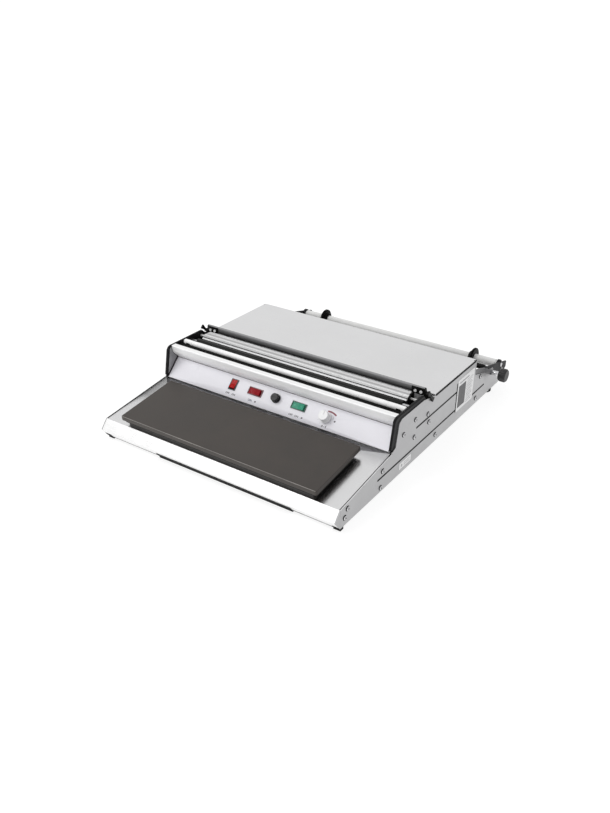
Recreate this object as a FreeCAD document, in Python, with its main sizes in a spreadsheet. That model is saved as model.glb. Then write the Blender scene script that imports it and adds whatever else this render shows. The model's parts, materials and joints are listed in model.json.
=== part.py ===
import FreeCAD, Part
import Sketcher
import math
import os

# Stretch-film hand wrapper: tray with hot plate in front, hot cutting rod and film bars
# on the housing's front edge, hinged cover and two-roller film cradle behind.
# Local coordinates: X to the right, Y to the back from the front edge of the side plates,
# Z up from their bottom edge. Every sub-part is then shifted by the same origin offset.

doc = FreeCAD.newDocument("hand_wrapper")
sheet = doc.addObject("Spreadsheet::Sheet", "sizes")

SIZES = {
    # housing
    "body_width": 460, "side_gauge": 1.5, "sheet_gauge": 1.2, "cap_width": 4.2,
    "rear_edge": 567, "rear_low": 10, "rear_slope_back": 562, "rear_slope_low": 14,
    "rear_knee_back": 514, "rear_knee_high": 36, "rear_knee_front": 489, "rear_knee_top": 49.8,
    "step_back": 446.5, "step_low": 62.4, "cover_seat_high": 91.2, "cover_seat_front": 284,
    "shoulder_back": 243, "shoulder_front": 171, "shoulder_high": 100,
    "cheek_front": 147, "cheek_low": 53, "groove_wide": 2.4, "groove_deep": 1,
    "low_groove_high": 25, "low_groove_front": 103, "low_groove_back": 494,
    "top_groove_high": 60, "top_groove_front": 222, "top_groove_back": 373,
    "bumper_wide": 9, "bumper_edge": 0.7,
    "rest_flange_wide": 12, "rest_flange_front": 288, "rest_flange_back": 428,
    # tray and lip
    "tray_length": 145, "tray_front_high": 31, "tray_back_high": 49.6, "tray_flange": 14,
    "lip_reach": 13, "lip_edge_high": 16.5, "lip_gauge_rise": 1.8,
    # base and feet
    "pan_front": 1.5, "pan_side_high": 16.5, "pan_back_high": 9, "foot_high": 4.5,
    "pan_back": 565, "vent_long": 60, "vent_wide": 4, "vent_pitch": 12, "vent_count": 7,
    "strip_left": -115, "strip_right": 148, "strip_deep": 8,
    "pad_wide": 12, "pad_deep": 8, "rear_foot_back": 527.5, "rear_foot_inset": 9.5,
    "rear_foot_radius": 9,
    # hot plate
    "plate_width": 380, "plate_depth": 125, "plate_thick": 7.5, "plate_start": -3.5,
    "plate_lift": 7, "plate_corner": 3, "heater_inset": 14, "heater_thick": 2,
    "plate_pan_inset": 9, "plate_pan_gauge": 1,
    # control panel
    "panel_foot_back": 146, "panel_foot_high": 52, "panel_run": 30, "panel_rise": 29.5,
    "panel_flange": 12, "mains_across": -87.7, "mains_up": 23.2, "mains_long": 20,
    "mains_short": 14, "rod_across": -41, "plate_across": 47.3, "wide_up": 23,
    "wide_long": 28, "wide_short": 13.4, "bezel_high": 1.4, "switch_deep": 20,
    "bezel_edge": 0.5, "window_wall": 0.9, "rocker_gap": 0.8, "rocker_side_gap": 0.25,
    "rocker_deep": 3, "rocker_rise": 5.4, "rocker_drop": 2.4, "rocker_tilt": 9,
    "rocker_pin": 1.2, "cutout_gap": 0.1,
    "fuse_across": 1.7, "fuse_up": 23.4, "fuse_radius": 8, "fuse_cap_radius": 7.2,
    "fuse_cap_high": 8.5, "fuse_body_radius": 6, "fuse_plug_radius": 4.5,
    "knob_across": 101, "knob_up": 19.4, "knob_radius": 9.7, "knob_high": 13,
    "knob_flute": 1.1, "knob_flutes": 16, "shaft_radius": 3, "bush_radius": 4.6,
    "thermostat_radius": 16, "thermostat_deep": 24, "running_gap": 0.05,
    # film bars on the housing
    "nose_top": 106.6, "nose_front": 160, "nose_back": 170.6, "nose_waist": 163,
    "nose_waist_high": 94.5, "nose_heel": 166.6, "nose_heel_high": 89.4, "nose_gap": 0.6,
    "cap_foot": 143.5, "cap_foot_high": 55.5, "cap_top": 107.3, "cap_low": 41,
    "bed_ledge": 90, "bed_floor": 81.2, "bed_back": 251, "strip_front": 171.2,
    "strip_back": 185, "strip_high": 104, "rod_back": 195, "rod_high": 102.9,
    "rod_radius": 4.55, "rod_left_gap": 0.4, "rod_right_gap": 0.5, "holder_inset": 16,
    "holder_wide": 8, "roller_back": 213, "roller_high": 98.8, "roller_radius": 6,
    "roller_inset": 16, "roller_axle": 2.5, "bar_front": 230, "bar_back": 250,
    "bar_high": 105, "bar_thick": 5, "bar_left_inset": 14, "bar_right_inset": 17,
    "bar_slope": 2.4, "rib_pitch": 3.4, "rib_count": 5, "rib_wide": 1.5, "rib_deep": 1.1,
    "bar_leg": 1.8, "bar_pin_inset": 30,
    "bar_pin_back": 240, "bar_pin_high": 98, "bar_pin_radius": 2,
    "pivot_back": 262, "pivot_high": 99.5, "press_inset": 3, "press_front": 259.5,
    "press_back": 264, "press_low": 101, "press_high": 112, "press_strap": 1.6,
    "press_strap_inset": 25, "press_ear_inset": 2.6, "press_ear_thick": 2,
    "press_screw_inner": 18, "press_screw_outer": 8, "press_screw_high": 104.6,
    "wing_shank": 2, "wing_hub": 3.1, "wing_out": 3.6, "wing_reach": 14, "wing_half": 4.2,
    "bracket_thick": 2.4, "bracket_front": 258, "bracket_back": 269.5, "bracket_high": 105,
    "bracket_foot": 92, "cap_step_front": 254, "cap_step_back": 270, "cap_step_high": 82,
    "cap_step_low": 78,
    # cover and film deck
    "cover_front": 283.5, "cover_back": 444.5, "cover_gap": 1, "cover_inset": 0.4,
    "cover_lip": 5, "hinge_back": 442.5, "hinge_high": 87, "hinge_pin": 2,
    "hinge_ear_inset": 14.5, "deck_front": 271, "deck_back": 440, "deck_high": 57, "deck_flange": 12,
    # film cradle
    "bolt_inset": 39, "bolt_high": 35, "bolt_radius": 3, "bolt_head": 4.2,
    "sleeve_radius": 4.6,
    "axle_forward": 4.7, "axle_lift": 8.4, "front_radius": 5, "front_axle": 2.5,
    "front_inset": 5.6, "rear_reach": 51.5, "rear_drop": 5.3, "cradle_radius": 8,
    "rear_inset": 5.3, "cradle_shaft": 4, "boss_radius": 9.3, "boss_inset": 4.9,
    "tip_reach": 28, "disc_radius": 19.3, "disc_thick": 6, "disc_hub": 12,
    "disc_hub_long": 11, "disc_inset": 51.1, "bracket_plate": 1.6, "arm_screw_back": 471,
    "arm_screw_high": 49.6, "arm_plate": 2.2, "arm_gap": 0.3, "arm_run": 96.7,
    "arm_drop": 25.5, "slot_forward": 31, "slot_backward": 16, "clamp_radius": 12.5,
    "clamp_thick": 14, "clamp_reach": 15, "clamp_flutes": 10,
    # electrics inside
    "core_long": 78, "core_deep": 32, "core_high": 48, "core_back": 330, "coil_reach": 9,
    "block_long": 60, "block_deep": 20, "block_high": 15, "block_left": 120, "block_front": 310,
    "screw_radius": 1.6, "screw_head": 3.6, "screw_head_high": 2.2,
}

for row, (word, number) in enumerate(SIZES.items(), start=1):
    sheet.set(f"A{row}", word)
    sheet.set(f"B{row}", str(number))
    sheet.setAlias(f"B{row}", word)
doc.recompute()


class Size:
    """A number that keeps the spreadsheet expression it comes from."""

    def __init__(self, value, text):
        self.value = float(value)
        self.text = text

    def __add__(self, other):
        other = size(other)
        return Size(self.value + other.value, f"({self.text} + {other.text})")

    def __sub__(self, other):
        other = size(other)
        return Size(self.value - other.value, f"({self.text} - {other.text})")

    def __mul__(self, other):
        other = size(other)
        return Size(self.value * other.value, f"({self.text} * {other.text})")

    def __truediv__(self, other):
        other = size(other)
        return Size(self.value / other.value, f"({self.text} / {other.text})")

    def __neg__(self):
        return Size(-self.value, f"(-1 * {self.text})")

    def __rsub__(self, other):
        return size(other) - self

    __radd__ = __add__
    __rmul__ = __mul__


def size(word):
    if isinstance(word, Size):
        return word
    if isinstance(word, str):
        return Size(SIZES[word], f"sizes.{word}")
    return Size(word, repr(float(word)) if word >= 0 else f"({float(word)!r})")


def root(amount):
    return Size(math.sqrt(amount.value), f"sqrt({amount.text})")


def slope_angle(rise, run):
    degrees = math.degrees(math.atan2(rise.value, run.value))
    return Size(degrees, f"atan({rise.text} / {run.text})")


# Sizes that follow from others
HALF = size("body_width") / 2
PLATE_IN = HALF - size("side_gauge")
CAP_IN = PLATE_IN - size("cap_width")
GAUGE = size("sheet_gauge")
FLANGE_IN = PLATE_IN - GAUGE
TIP_BACK = (size("rear_edge") - size("bolt_inset")) + size("rear_reach") + size("tip_reach")
BACK_SHIFT = (size("lip_reach") - TIP_BACK) / 2
UP_SHIFT = size("foot_high")
TRAY_RISE = size("tray_back_high") - size("tray_front_high")
TRAY_ANGLE = slope_angle(TRAY_RISE, size("tray_length"))
PANEL_ANGLE = slope_angle(size("panel_rise"), size("panel_run"))
PANEL_LENGTH = root(size("panel_run") * size("panel_run") + size("panel_rise") * size("panel_rise"))
COVER_LOW = size("cover_seat_high") + size("cover_gap")


# Helpers
def place(thing, across=None, back=None, up=None, tilt=None):
    if tilt is not None:
        thing.Placement = FreeCAD.Placement(
            FreeCAD.Vector(0, 0, 0), FreeCAD.Rotation(FreeCAD.Vector(1, 0, 0), tilt.value))
        thing.setExpression("Placement.Rotation.Angle", tilt.text)
    thing.setExpression("Placement.Base.x", size(across or 0).text)
    thing.setExpression("Placement.Base.y", (size(back or 0) + BACK_SHIFT).text)
    thing.setExpression("Placement.Base.z", (size(up or 0) + UP_SHIFT).text)


def on_panel(thing, across, up_slope, turn=0.0, out=0):
    # Local X runs across, local Y up the slope and local Z out of the panel
    rotation = FreeCAD.Rotation(FreeCAD.Vector(1, 0, 0), PANEL_ANGLE.value)
    thing.Placement = FreeCAD.Placement(
        FreeCAD.Vector(0, 0, 0), rotation * FreeCAD.Rotation(FreeCAD.Vector(0, 0, 1), turn))
    share, away = size(up_slope) / PANEL_LENGTH, size(out) / PANEL_LENGTH
    run, rise = size("panel_run"), size("panel_rise")
    back = size("panel_foot_back") + share * run - away * rise + BACK_SHIFT
    high = size("panel_foot_high") + share * rise + away * run + UP_SHIFT
    thing.setExpression("Placement.Base.x", size(across).text)
    thing.setExpression("Placement.Base.y", back.text)
    thing.setExpression("Placement.Base.z", high.text)


def new_body(label):
    body = doc.addObject("PartDesign::Body", label)
    body.Label = label
    return body


def plane_of(body, name):
    return [f for f in body.Origin.OriginFeatures if f.Role == f"{name}_Plane"][0]


def fix_value(sketch, kind, items, amount):
    index = sketch.addConstraint(Sketcher.Constraint(kind, *items, amount.value))
    sketch.setExpression(f"Constraints[{index}]", amount.text)


def fix_point(sketch, geometry, point, across, up):
    for kind, amount, axis in (("DistanceX", size(across), -2), ("DistanceY", size(up), -1)):
        if amount.value == 0:
            sketch.addConstraint(Sketcher.Constraint("PointOnObject", geometry, point, axis))
        else:
            fix_value(sketch, kind, (-1, 1, geometry, point), amount)


def outline(sketch, points):
    points = [(size(a), size(b)) for a, b in points]
    first = sketch.GeometryCount
    count = len(points)
    vectors = [FreeCAD.Vector(a.value, b.value, 0) for a, b in points]
    for i in range(count):
        sketch.addGeometry(Part.LineSegment(vectors[i], vectors[(i + 1) % count]), False)
    for i in range(count):
        sketch.addConstraint(
            Sketcher.Constraint("Coincident", first + i, 2, first + (i + 1) % count, 1))
    for i, (a, b) in enumerate(points):
        fix_point(sketch, first + i, 1, a, b)


def ring(sketch, across, up, radius):
    across, up, radius = size(across), size(up), size(radius)
    centre = FreeCAD.Vector(across.value, up.value, 0)
    index = sketch.addGeometry(
        Part.Circle(centre, FreeCAD.Vector(0, 0, 1), radius.value), False)
    fix_point(sketch, index, 3, across, up)
    fix_value(sketch, "Radius", (index,), radius)


def new_sketch(body, plane, level):
    sketch = body.newObject("Sketcher::SketchObject", f"{body.Name}_sketch")
    sketch.AttachmentSupport = [(plane_of(body, plane), "")]
    sketch.MapMode = "FlatFace"
    sketch.setExpression("AttachmentOffset.Base.z", size(level).text)
    return sketch


def draw(sketch, outlines, rings):
    for points in outlines:
        outline(sketch, points)
    for across, up, radius in rings:
        ring(sketch, across, up, radius)


def pad(body, plane, low, high, outlines=(), rings=()):
    # Material between two levels along the plane's own axis
    low, high = size(low), size(high)
    level = -high if plane == "XZ" else low
    sketch = new_sketch(body, plane, level)
    draw(sketch, outlines, rings)
    feature = body.newObject("PartDesign::Pad", f"{body.Name}_pad")
    feature.Profile = sketch
    feature.setExpression("Length", (high - low).text)
    doc.recompute()
    body.Tip = feature
    return feature


def pocket(body, plane, low, high, outlines=(), rings=()):
    # Cut between two levels along the plane's own axis
    low, high = size(low), size(high)
    before = body.Tip.Shape.Volume
    level = -low if plane == "XZ" else high
    sketch = new_sketch(body, plane, level)
    draw(sketch, outlines, rings)
    feature = body.newObject("PartDesign::Pocket", f"{body.Name}_pocket")
    feature.Profile = sketch
    feature.setExpression("Length", (high - low).text)
    doc.recompute()
    if feature.Shape.Volume >= before - 1e-6:
        raise ValueError(f"{body.Label}: the pocket removed nothing")
    body.Tip = feature
    return feature


def turned(body, points):
    # Solid of revolution about local X; points are (along, radius)
    sketch = new_sketch(body, "XZ", 0)
    outline(sketch, points)
    feature = body.newObject("PartDesign::Revolution", f"{body.Name}_turn")
    feature.Profile = sketch
    feature.ReferenceAxis = (sketch, ["H_Axis"])
    feature.Angle = 360
    doc.recompute()
    body.Tip = feature
    return feature


def straight_edges(feature, axis, spots, reach=0.2):
    # Names of straight edges along one axis that pass the given places in the other two
    keep = [i for i in range(3) if i != axis]
    names = []
    for number, edge in enumerate(feature.Shape.Edges, start=1):
        if len(edge.Vertexes) < 2:
            continue
        ends = [v.Point for v in edge.Vertexes]
        if max(abs(ends[0][i] - ends[1][i]) for i in keep) > 1e-4:
            continue
        for spot in spots:
            near = [abs(ends[0][i] - size(v).value) for i, v in zip(keep, spot)]
            if max(near) < reach:
                names.append(f"Edge{number}")
                break
    return names


def round_over(body, names, radius, chamfer=False):
    if not names:
        raise ValueError(f"{body.Label}: no edge to round")
    kind = "PartDesign::Chamfer" if chamfer else "PartDesign::Fillet"
    before = body.Tip
    feature = body.newObject(kind, f"{body.Name}_edge")
    feature.Base = (before, names)
    feature.setExpression("Size" if chamfer else "Radius", size(radius).text)
    doc.recompute()
    body.Tip = feature
    return feature


def repeat_line(body, feature, plane, axis_name, length, count):
    # Linear pattern of a feature along one of the body's axes
    pattern = body.newObject("PartDesign::LinearPattern", f"{body.Name}_row")
    pattern.Originals = [feature]
    axis = [f for f in body.Origin.OriginFeatures if f.Role == f"{axis_name}_Axis"][0]
    pattern.Direction = (axis, [""])
    pattern.setExpression("Length", size(length).text)
    pattern.Occurrences = count
    doc.recompute()
    body.Tip = pattern
    return pattern


def repeat_round(body, feature, axis_name, count):
    pattern = body.newObject("PartDesign::PolarPattern", f"{body.Name}_round")
    pattern.Originals = [feature]
    axis = [f for f in body.Origin.OriginFeatures if f.Role == f"{axis_name}_Axis"][0]
    pattern.Axis = (axis, [""])
    pattern.Angle = 360
    pattern.Occurrences = count
    doc.recompute()
    body.Tip = pattern
    return pattern


def rectangle(left, right, low, high):
    return [(left, low), (right, low), (right, high), (left, high)]


def group(label, members):
    thing = doc.addObject("Part::Compound", label)
    thing.Label = label
    thing.Links = members
    return thing


def sided(side, inner, outer):
    # Span along X on the right (side 1) or its mirror on the left (side -1)
    inner, outer = size(inner), size(outer)
    return (inner, outer) if side > 0 else (-outer, -inner)


def word_of(side):
    return "right" if side > 0 else "left"


# Housing
def cover_seat_slope(back):
    # Height of the side plate's edge between its shoulder and the cover
    run = size("cover_seat_front") - size("shoulder_back")
    drop = size("shoulder_high") - size("cover_seat_high")
    return size("shoulder_high") - (size(back) - size("shoulder_back")) * drop / run


def side_screw_spots():
    return [(118, 35), (114, 7.5), (19, 25), (12, 13), (179.5, 68.4), (217, 46), (217.6, 77.3),
            (261.4, 67.4), (266.8, 50.5), (296, 13), (458.8, 11.1),
            ("arm_screw_back", "arm_screw_high")]


def side_plate(side):
    body = new_body(f"side_plate_{word_of(side)}")
    edge = [(0, 0), ("rear_edge", 0), ("rear_edge", "rear_low"),
            ("rear_slope_back", "rear_slope_low"), ("rear_knee_back", "rear_knee_high"),
            ("rear_knee_front", "rear_knee_top"), ("step_back", "step_low"),
            ("step_back", "cover_seat_high"), ("cover_seat_front", "cover_seat_high"),
            ("shoulder_back", "shoulder_high"), ("shoulder_front", "shoulder_high"),
            (163, 95), (161.7, 88), (156, 57), ("cheek_front", "cheek_low"),
            ("tray_length", "tray_back_high"), (0, "tray_front_high")]
    rings = [(a, b, size("screw_radius") + size("running_gap")) for a, b in side_screw_spots()]
    low, high = sided(side, PLATE_IN, HALF)
    pad(body, "YZ", low, high, [edge], rings)
    flange = rectangle("rest_flange_front", "rest_flange_back",
                       size("cover_seat_high") - GAUGE, "cover_seat_high")
    low, high = sided(side, PLATE_IN - size("rest_flange_wide"), PLATE_IN)
    pad(body, "YZ", low, high, [flange])
    wide = size("groove_wide") / 2
    low, high = sided(side, HALF - size("groove_deep"), HALF)
    for name in ("low", "top"):
        middle = size(f"{name}_groove_high")
        slot = rectangle(f"{name}_groove_front", f"{name}_groove_back", middle - wide, middle + wide)
        pocket(body, "YZ", low, high, [slot])
    place(body)
    return body


def end_cap(side):
    body = new_body(f"end_cap_{word_of(side)}")
    low_front = (150, "cap_foot_high")
    edge = [("cap_foot", "cap_foot_high"), (152, 102.5), (154.5, 105.6), (159, "cap_top"),
            ("shoulder_back", "cap_top"), (256, 96.5), ("cap_step_front", "cap_step_high"),
            ("cap_step_back", "cap_step_low"), ("cap_step_back", "cap_low"),
            (150, "cap_low"), low_front]
    rings = [(a, b, size("screw_radius") + size("running_gap"))
             for a, b in side_screw_spots()[4:9]]
    low, high = sided(side, CAP_IN, PLATE_IN)
    feature = pad(body, "YZ", low, high, [edge], rings)
    outer = high if side > 0 else low
    names = [f"Edge{n}" for n, e in enumerate(feature.Shape.Edges, start=1)
             if len(e.Vertexes) == 2
             and all(abs(v.X - outer.value) < 0.01 and v.Z > 56 and v.Y < 250 for v in e.Vertexes)]
    round_over(body, names, 1.2, chamfer=True)
    place(body)
    return body


def base_pan():
    body = new_body("base_pan")
    front, back = size("pan_front"), size("pan_back")
    pad(body, "XY", 0, GAUGE, [rectangle(-PLATE_IN, PLATE_IN, front, back)])
    for side in (-1, 1):
        low, high = sided(side, FLANGE_IN, PLATE_IN)
        rings = [(a, b, size("screw_radius") + size("running_gap"))
                 for a, b in ((114, 7.5), (12, 13), (296, 13), (458.8, 11.1))]
        flange = rectangle(front, size("rear_slope_back") - 2, 0, "pan_side_high")
        flange[2] = (size("rear_slope_back") - 18, "pan_side_high")
        flange.insert(2, (size("rear_slope_back") - 2, "pan_back_high"))
        pad(body, "YZ", low, high, [flange], rings)
    pad(body, "XZ", back - GAUGE, back, [rectangle(-PLATE_IN, PLATE_IN, 0, "pan_back_high")])
    for left in (-130, 40):
        start = size(340)
        slot = rectangle(left, left + size("vent_long"), start, start + size("vent_wide"))
        cut = pocket(body, "XY", 0, GAUGE, [slot])
        count = SIZES["vent_count"]
        repeat_line(body, cut, "XY", "Y", size("vent_pitch") * (count - 1), count)
    place(body)
    return body


def tray():
    body = new_body("tray")
    front, back = size("tray_front_high"), size("tray_back_high")
    length = size("tray_length")
    sheet_edge = [(0, front), (length, back), (length, back + GAUGE), (0, front + GAUGE)]
    pad(body, "YZ", -HALF, HALF, [sheet_edge])
    drop = size("tray_flange")
    rear = length - 2
    flange = [(2, front), (rear, back), (rear, back - drop), (2, front - drop)]
    rings = [(a, b, size("screw_radius") + size("running_gap"))
             for a, b in side_screw_spots() if (a, b) in ((118, 35), (19, 25))]
    for side in (-1, 1):
        low, high = sided(side, FLANGE_IN, PLATE_IN)
        pad(body, "YZ", low, high, [flange], rings)
    place(body)
    return body


def front_lip():
    body = new_body("front_lip")
    reach, middle = size("lip_reach"), size("lip_edge_high")
    rise = size("lip_gauge_rise")
    top = size("tray_front_high") + GAUGE
    edge = [(0, top), (-reach, middle), (0, 0), (0, rise), (-reach + rise, middle),
            (0, top - rise)]
    pad(body, "YZ", -PLATE_IN, PLATE_IN, [edge])
    place(body)
    return body


def lip_ends():
    members = []
    for side in (-1, 1):
        body = new_body(f"lip_end_{word_of(side)}")
        edge = [(0, 0), (0, size("tray_front_high") + GAUGE),
                (-size("lip_reach"), "lip_edge_high")]
        low, high = sided(side, PLATE_IN, HALF)
        pad(body, "YZ", low, high, [edge])
        place(body)
        members.append(body)
    return group("lip_ends", members)


def rubber_feet():
    strip = new_body("front_foot_strip")
    front = size("pan_front")
    pad(strip, "XY", -size("foot_high"), 0,
        [rectangle("strip_left", "strip_right", front, front + size("strip_deep"))])
    place(strip)
    members = [strip]
    for side in (-1, 1):
        front = new_body(f"front_pad_{word_of(side)}")
        low, high = sided(side, HALF - size("pad_wide"), HALF)
        deep = size("pan_front") + size("pad_deep")
        pad(front, "XY", -size("foot_high"), 0, [rectangle(low, high, "pan_front", deep)])
        place(front)
        members.append(front)
        rear = new_body(f"rear_foot_{word_of(side)}")
        across = (HALF - size("rear_foot_inset")) * side
        feature = pad(rear, "XY", -size("foot_high"), 0,
                      rings=[(across, "rear_foot_back", "rear_foot_radius")])
        names = [f"Edge{n}" for n, e in enumerate(feature.Shape.Edges, start=1)
                 if len(e.Vertexes) == 1 and e.Vertexes[0].Z < -1]
        round_over(rear, names, 1, chamfer=True)
        place(rear)
        members.append(rear)
    return group("rubber_feet", members)


# Hot plate on the tray; local Y runs up the tray's slope and local Z out of it
def on_tray(body):
    place(body, up=size("tray_front_high") + GAUGE, tilt=TRAY_ANGLE)


def plate_rectangle(inset):
    half = size("plate_width") / 2 - inset
    front = size("plate_start") + inset
    return rectangle(-half, half, front, size("plate_start") + size("plate_depth") - inset)


def hot_plate():
    body = new_body("hot_plate")
    low = size("plate_lift")
    high = low + size("plate_thick")
    feature = pad(body, "XY", low, high, [plate_rectangle(size(0))])
    box = feature.Shape.BoundBox
    corners = [(a, b) for a in (box.XMin, box.XMax) for b in (box.YMin, box.YMax)]
    round_over(body, straight_edges(feature, 2, corners), "plate_corner")
    pocket(body, "XY", low, low + size("heater_thick"), [plate_rectangle(size("heater_inset"))])
    top = [f"Edge{n}" for n, e in enumerate(body.Tip.Shape.Edges, start=1)
           if all(abs(v.Z - high.value) < 0.01 for v in e.Vertexes)]
    round_over(body, top, 0.7, chamfer=True)
    on_tray(body)
    return body


def plate_heater():
    body = new_body("plate_heater")
    low = size("plate_lift")
    pad(body, "XY", low, low + size("heater_thick"),
        [plate_rectangle(size("heater_inset") + size("arm_gap"))])
    on_tray(body)
    return body


def plate_pan():
    # Folded pan that carries the plate on its rim, open at the top, feet on the tray
    body = new_body("plate_pan")
    inset, gauge = size("plate_pan_inset"), size("plate_pan_gauge")
    high = size("plate_lift")
    pad(body, "XY", 0, high, [plate_rectangle(inset)])
    pocket(body, "XY", gauge, high, [plate_rectangle(inset + 4)])
    on_tray(body)
    return body


# Control panel and what is mounted in it
def control_panel():
    body = new_body("control_panel")
    rings = [("fuse_across", "fuse_up", size("fuse_body_radius") + size("running_gap")),
             ("knob_across", "knob_up", size("bush_radius") + size("running_gap"))]
    cuts = []
    for across, up, long, short in switch_cutouts():
        cuts.append(rectangle(across - long, across + long, up - short, up + short))
    panel = rectangle(-CAP_IN, CAP_IN, 0, PANEL_LENGTH)
    pad(body, "XY", -GAUGE, 0, [panel] + cuts, rings)
    for side in (-1, 1):
        low, high = sided(side, CAP_IN - GAUGE, CAP_IN)
        flange = rectangle(3, PANEL_LENGTH - 2, -size("panel_flange"), -GAUGE)
        pad(body, "YZ", low, high, [flange])
    on_panel(body, 0, 0)
    return body


def switch_cutouts():
    spare = size("bezel_edge") - size("cutout_gap")
    wide = (size("wide_long") / 2 - spare, size("wide_short") / 2 - spare)
    tall = (size("mains_short") / 2 - spare, size("mains_long") / 2 - spare)
    return [(size("mains_across"), size("mains_up"), tall[0], tall[1]),
            (size("rod_across"), size("wide_up"), wide[0], wide[1]),
            (size("plate_across"), size("wide_up"), wide[0], wide[1])]


def switch_parts(name, across, up, long, short, turn, tilt_way):
    # Housing with a window, and a rocker that tilts on its pin; local X is the long way
    long, short = size(long) / 2, size(short) / 2
    bezel, pivot = size("bezel_high"), size("rocker_deep")
    neck_long, neck_short = long - size("bezel_edge"), short - size("bezel_edge")
    window_long, window_short = neck_long - size("window_wall"), neck_short - size("window_wall")
    body = new_body(f"{name}_switch_body")
    pad(body, "XY", 0, bezel, [rectangle(-long, long, -short, short)])
    pad(body, "XY", -size("switch_deep"), 0,
        [rectangle(-neck_long, neck_long, -neck_short, neck_short)])
    floor = pivot + size("rocker_drop") + window_long * 0.2 + 0.6
    pocket(body, "XY", -floor, bezel,
           [rectangle(-window_long, window_long, -window_short, window_short)])
    reach = neck_short - 0.2
    pocket(body, "XZ", -reach, reach,
           rings=[(0, -pivot, size("rocker_pin") + size("running_gap"))])
    on_panel(body, across, up, turn)
    rocker = new_body(f"{name}_rocker")
    half = window_long - size("rocker_gap")
    side = window_short - size("rocker_side_gap")
    rise, drop = size("rocker_rise"), size("rocker_drop")
    profile = [(-half, rise), (0, rise - 0.9), (half, rise), (half - 0.6, -drop + 0.4),
               (0, -drop), (-half + 0.6, -drop + 0.4)]
    pad(rocker, "XZ", -side, side, [profile])
    pin = reach - size("running_gap")
    pad(rocker, "XZ", -pin, pin, rings=[(0, 0, "rocker_pin")])
    on_panel(rocker, across, up, turn, -pivot)
    tilt = FreeCAD.Rotation(FreeCAD.Vector(0, 1, 0), tilt_way * SIZES["rocker_tilt"])
    rocker.Placement.Rotation = rocker.Placement.Rotation * tilt
    return [body, rocker]


def fuse_parts():
    holder = new_body("fuse_holder")
    flange = size("fuse_radius")
    barrel = size("fuse_body_radius")
    pad(holder, "XY", 0, 1.5, rings=[(0, 0, flange)])
    pad(holder, "XY", -22, 0, rings=[(0, 0, barrel)])
    pocket(holder, "XY", -14, 1.5, rings=[(0, 0, size("fuse_plug_radius") + size("running_gap"))])
    on_panel(holder, "fuse_across", "fuse_up")
    cap = new_body("fuse_cap")
    radius = size("fuse_cap_radius")
    top = size("fuse_cap_high")
    pad(cap, "XY", 1.5, top, rings=[(0, 0, radius)])
    rim = [f"Edge{n}" for n, e in enumerate(cap.Tip.Shape.Edges, start=1)
           if len(e.Vertexes) == 1 and abs(e.Vertexes[0].Z - top.value) < 0.01]
    round_over(cap, rim, 1.2)
    pad(cap, "XY", -12, 1.5, rings=[(0, 0, "fuse_plug_radius")])
    flute = pocket(cap, "XY", 2.6, top, rings=[(radius + 0.3, 0, 1)])
    repeat_round(cap, flute, "Z", 12)
    pocket(cap, "XY", top - 1.2, top, [rectangle(-4.4, 4.4, -0.8, 0.8)])
    on_panel(cap, "fuse_across", "fuse_up")
    return [holder, cap]


def temperature_parts():
    thermostat = new_body("thermostat")
    deep = size("thermostat_deep")
    pad(thermostat, "XY", -deep, -GAUGE, rings=[(0, 0, "thermostat_radius")])
    pad(thermostat, "XY", -GAUGE, 1.2, rings=[(0, 0, "bush_radius")])
    bore = size("shaft_radius") + size("running_gap")
    pocket(thermostat, "XY", -18, 1.2, rings=[(0, 0, bore)])
    on_panel(thermostat, "knob_across", "knob_up")
    knob = new_body("temperature_knob")
    radius, top = size("knob_radius"), size("knob_high")
    low = size(1.5)
    pad(knob, "XY", low, 3.2, rings=[(0, 0, radius)])
    feature = pad(knob, "XY", 3.2, top, rings=[(0, 0, radius - 1.1)])
    rim = [f"Edge{n}" for n, e in enumerate(feature.Shape.Edges, start=1)
           if len(e.Vertexes) == 1 and abs(e.Vertexes[0].Z - top.value) < 0.01]
    round_over(knob, rim, 1)
    flute = pocket(knob, "XY", 4, top, rings=[(radius - 0.8, 0, "knob_flute")])
    repeat_round(knob, flute, "Z", SIZES["knob_flutes"])
    pad(knob, "XY", top, top + 0.7, [rectangle(-0.6, 0.6, 1.5, radius - 2.4)])
    pad(knob, "XY", -15, low, rings=[(0, 0, "shaft_radius")])
    on_panel(knob, "knob_across", "knob_up")
    return [thermostat, knob]


# Bars along the housing's front edge
def nose_profile():
    body = new_body("nose_profile")
    gap = size("nose_gap")
    foot_back = size("panel_foot_back") + size("panel_run") - 1
    foot_high = size("panel_foot_high") + size("panel_rise") - 1 + gap
    edge = [("nose_front", "nose_top"), ("nose_waist", "nose_waist_high"),
            ("nose_heel", "nose_heel_high"), (foot_back, foot_high),
            (foot_back + 1.6, foot_high + 1.6), ("nose_back", 88.2), ("nose_back", "nose_top")]
    feature = pad(body, "YZ", -CAP_IN, CAP_IN, [edge])
    names = straight_edges(feature, 0, [("nose_front", "nose_top")])
    round_over(body, names, 2.2)
    names = straight_edges(body.Tip, 0, [("nose_heel", "nose_heel_high")])
    round_over(body, names, 6)
    place(body)
    return body


def bar_bed():
    body = new_body("bar_bed")
    ledge, floor = size("bed_ledge"), size("bed_floor")
    front, back = size("strip_front"), size("bed_back")
    wall = size("strip_back") + 1
    edge = [(front, ledge - GAUGE), (front, ledge), (wall, ledge), (wall, floor), (back, floor),
            (back, floor - GAUGE), (wall - GAUGE, floor - GAUGE), (wall - GAUGE, ledge - GAUGE)]
    pad(body, "YZ", -CAP_IN, CAP_IN, [edge])
    place(body)
    return body


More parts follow.
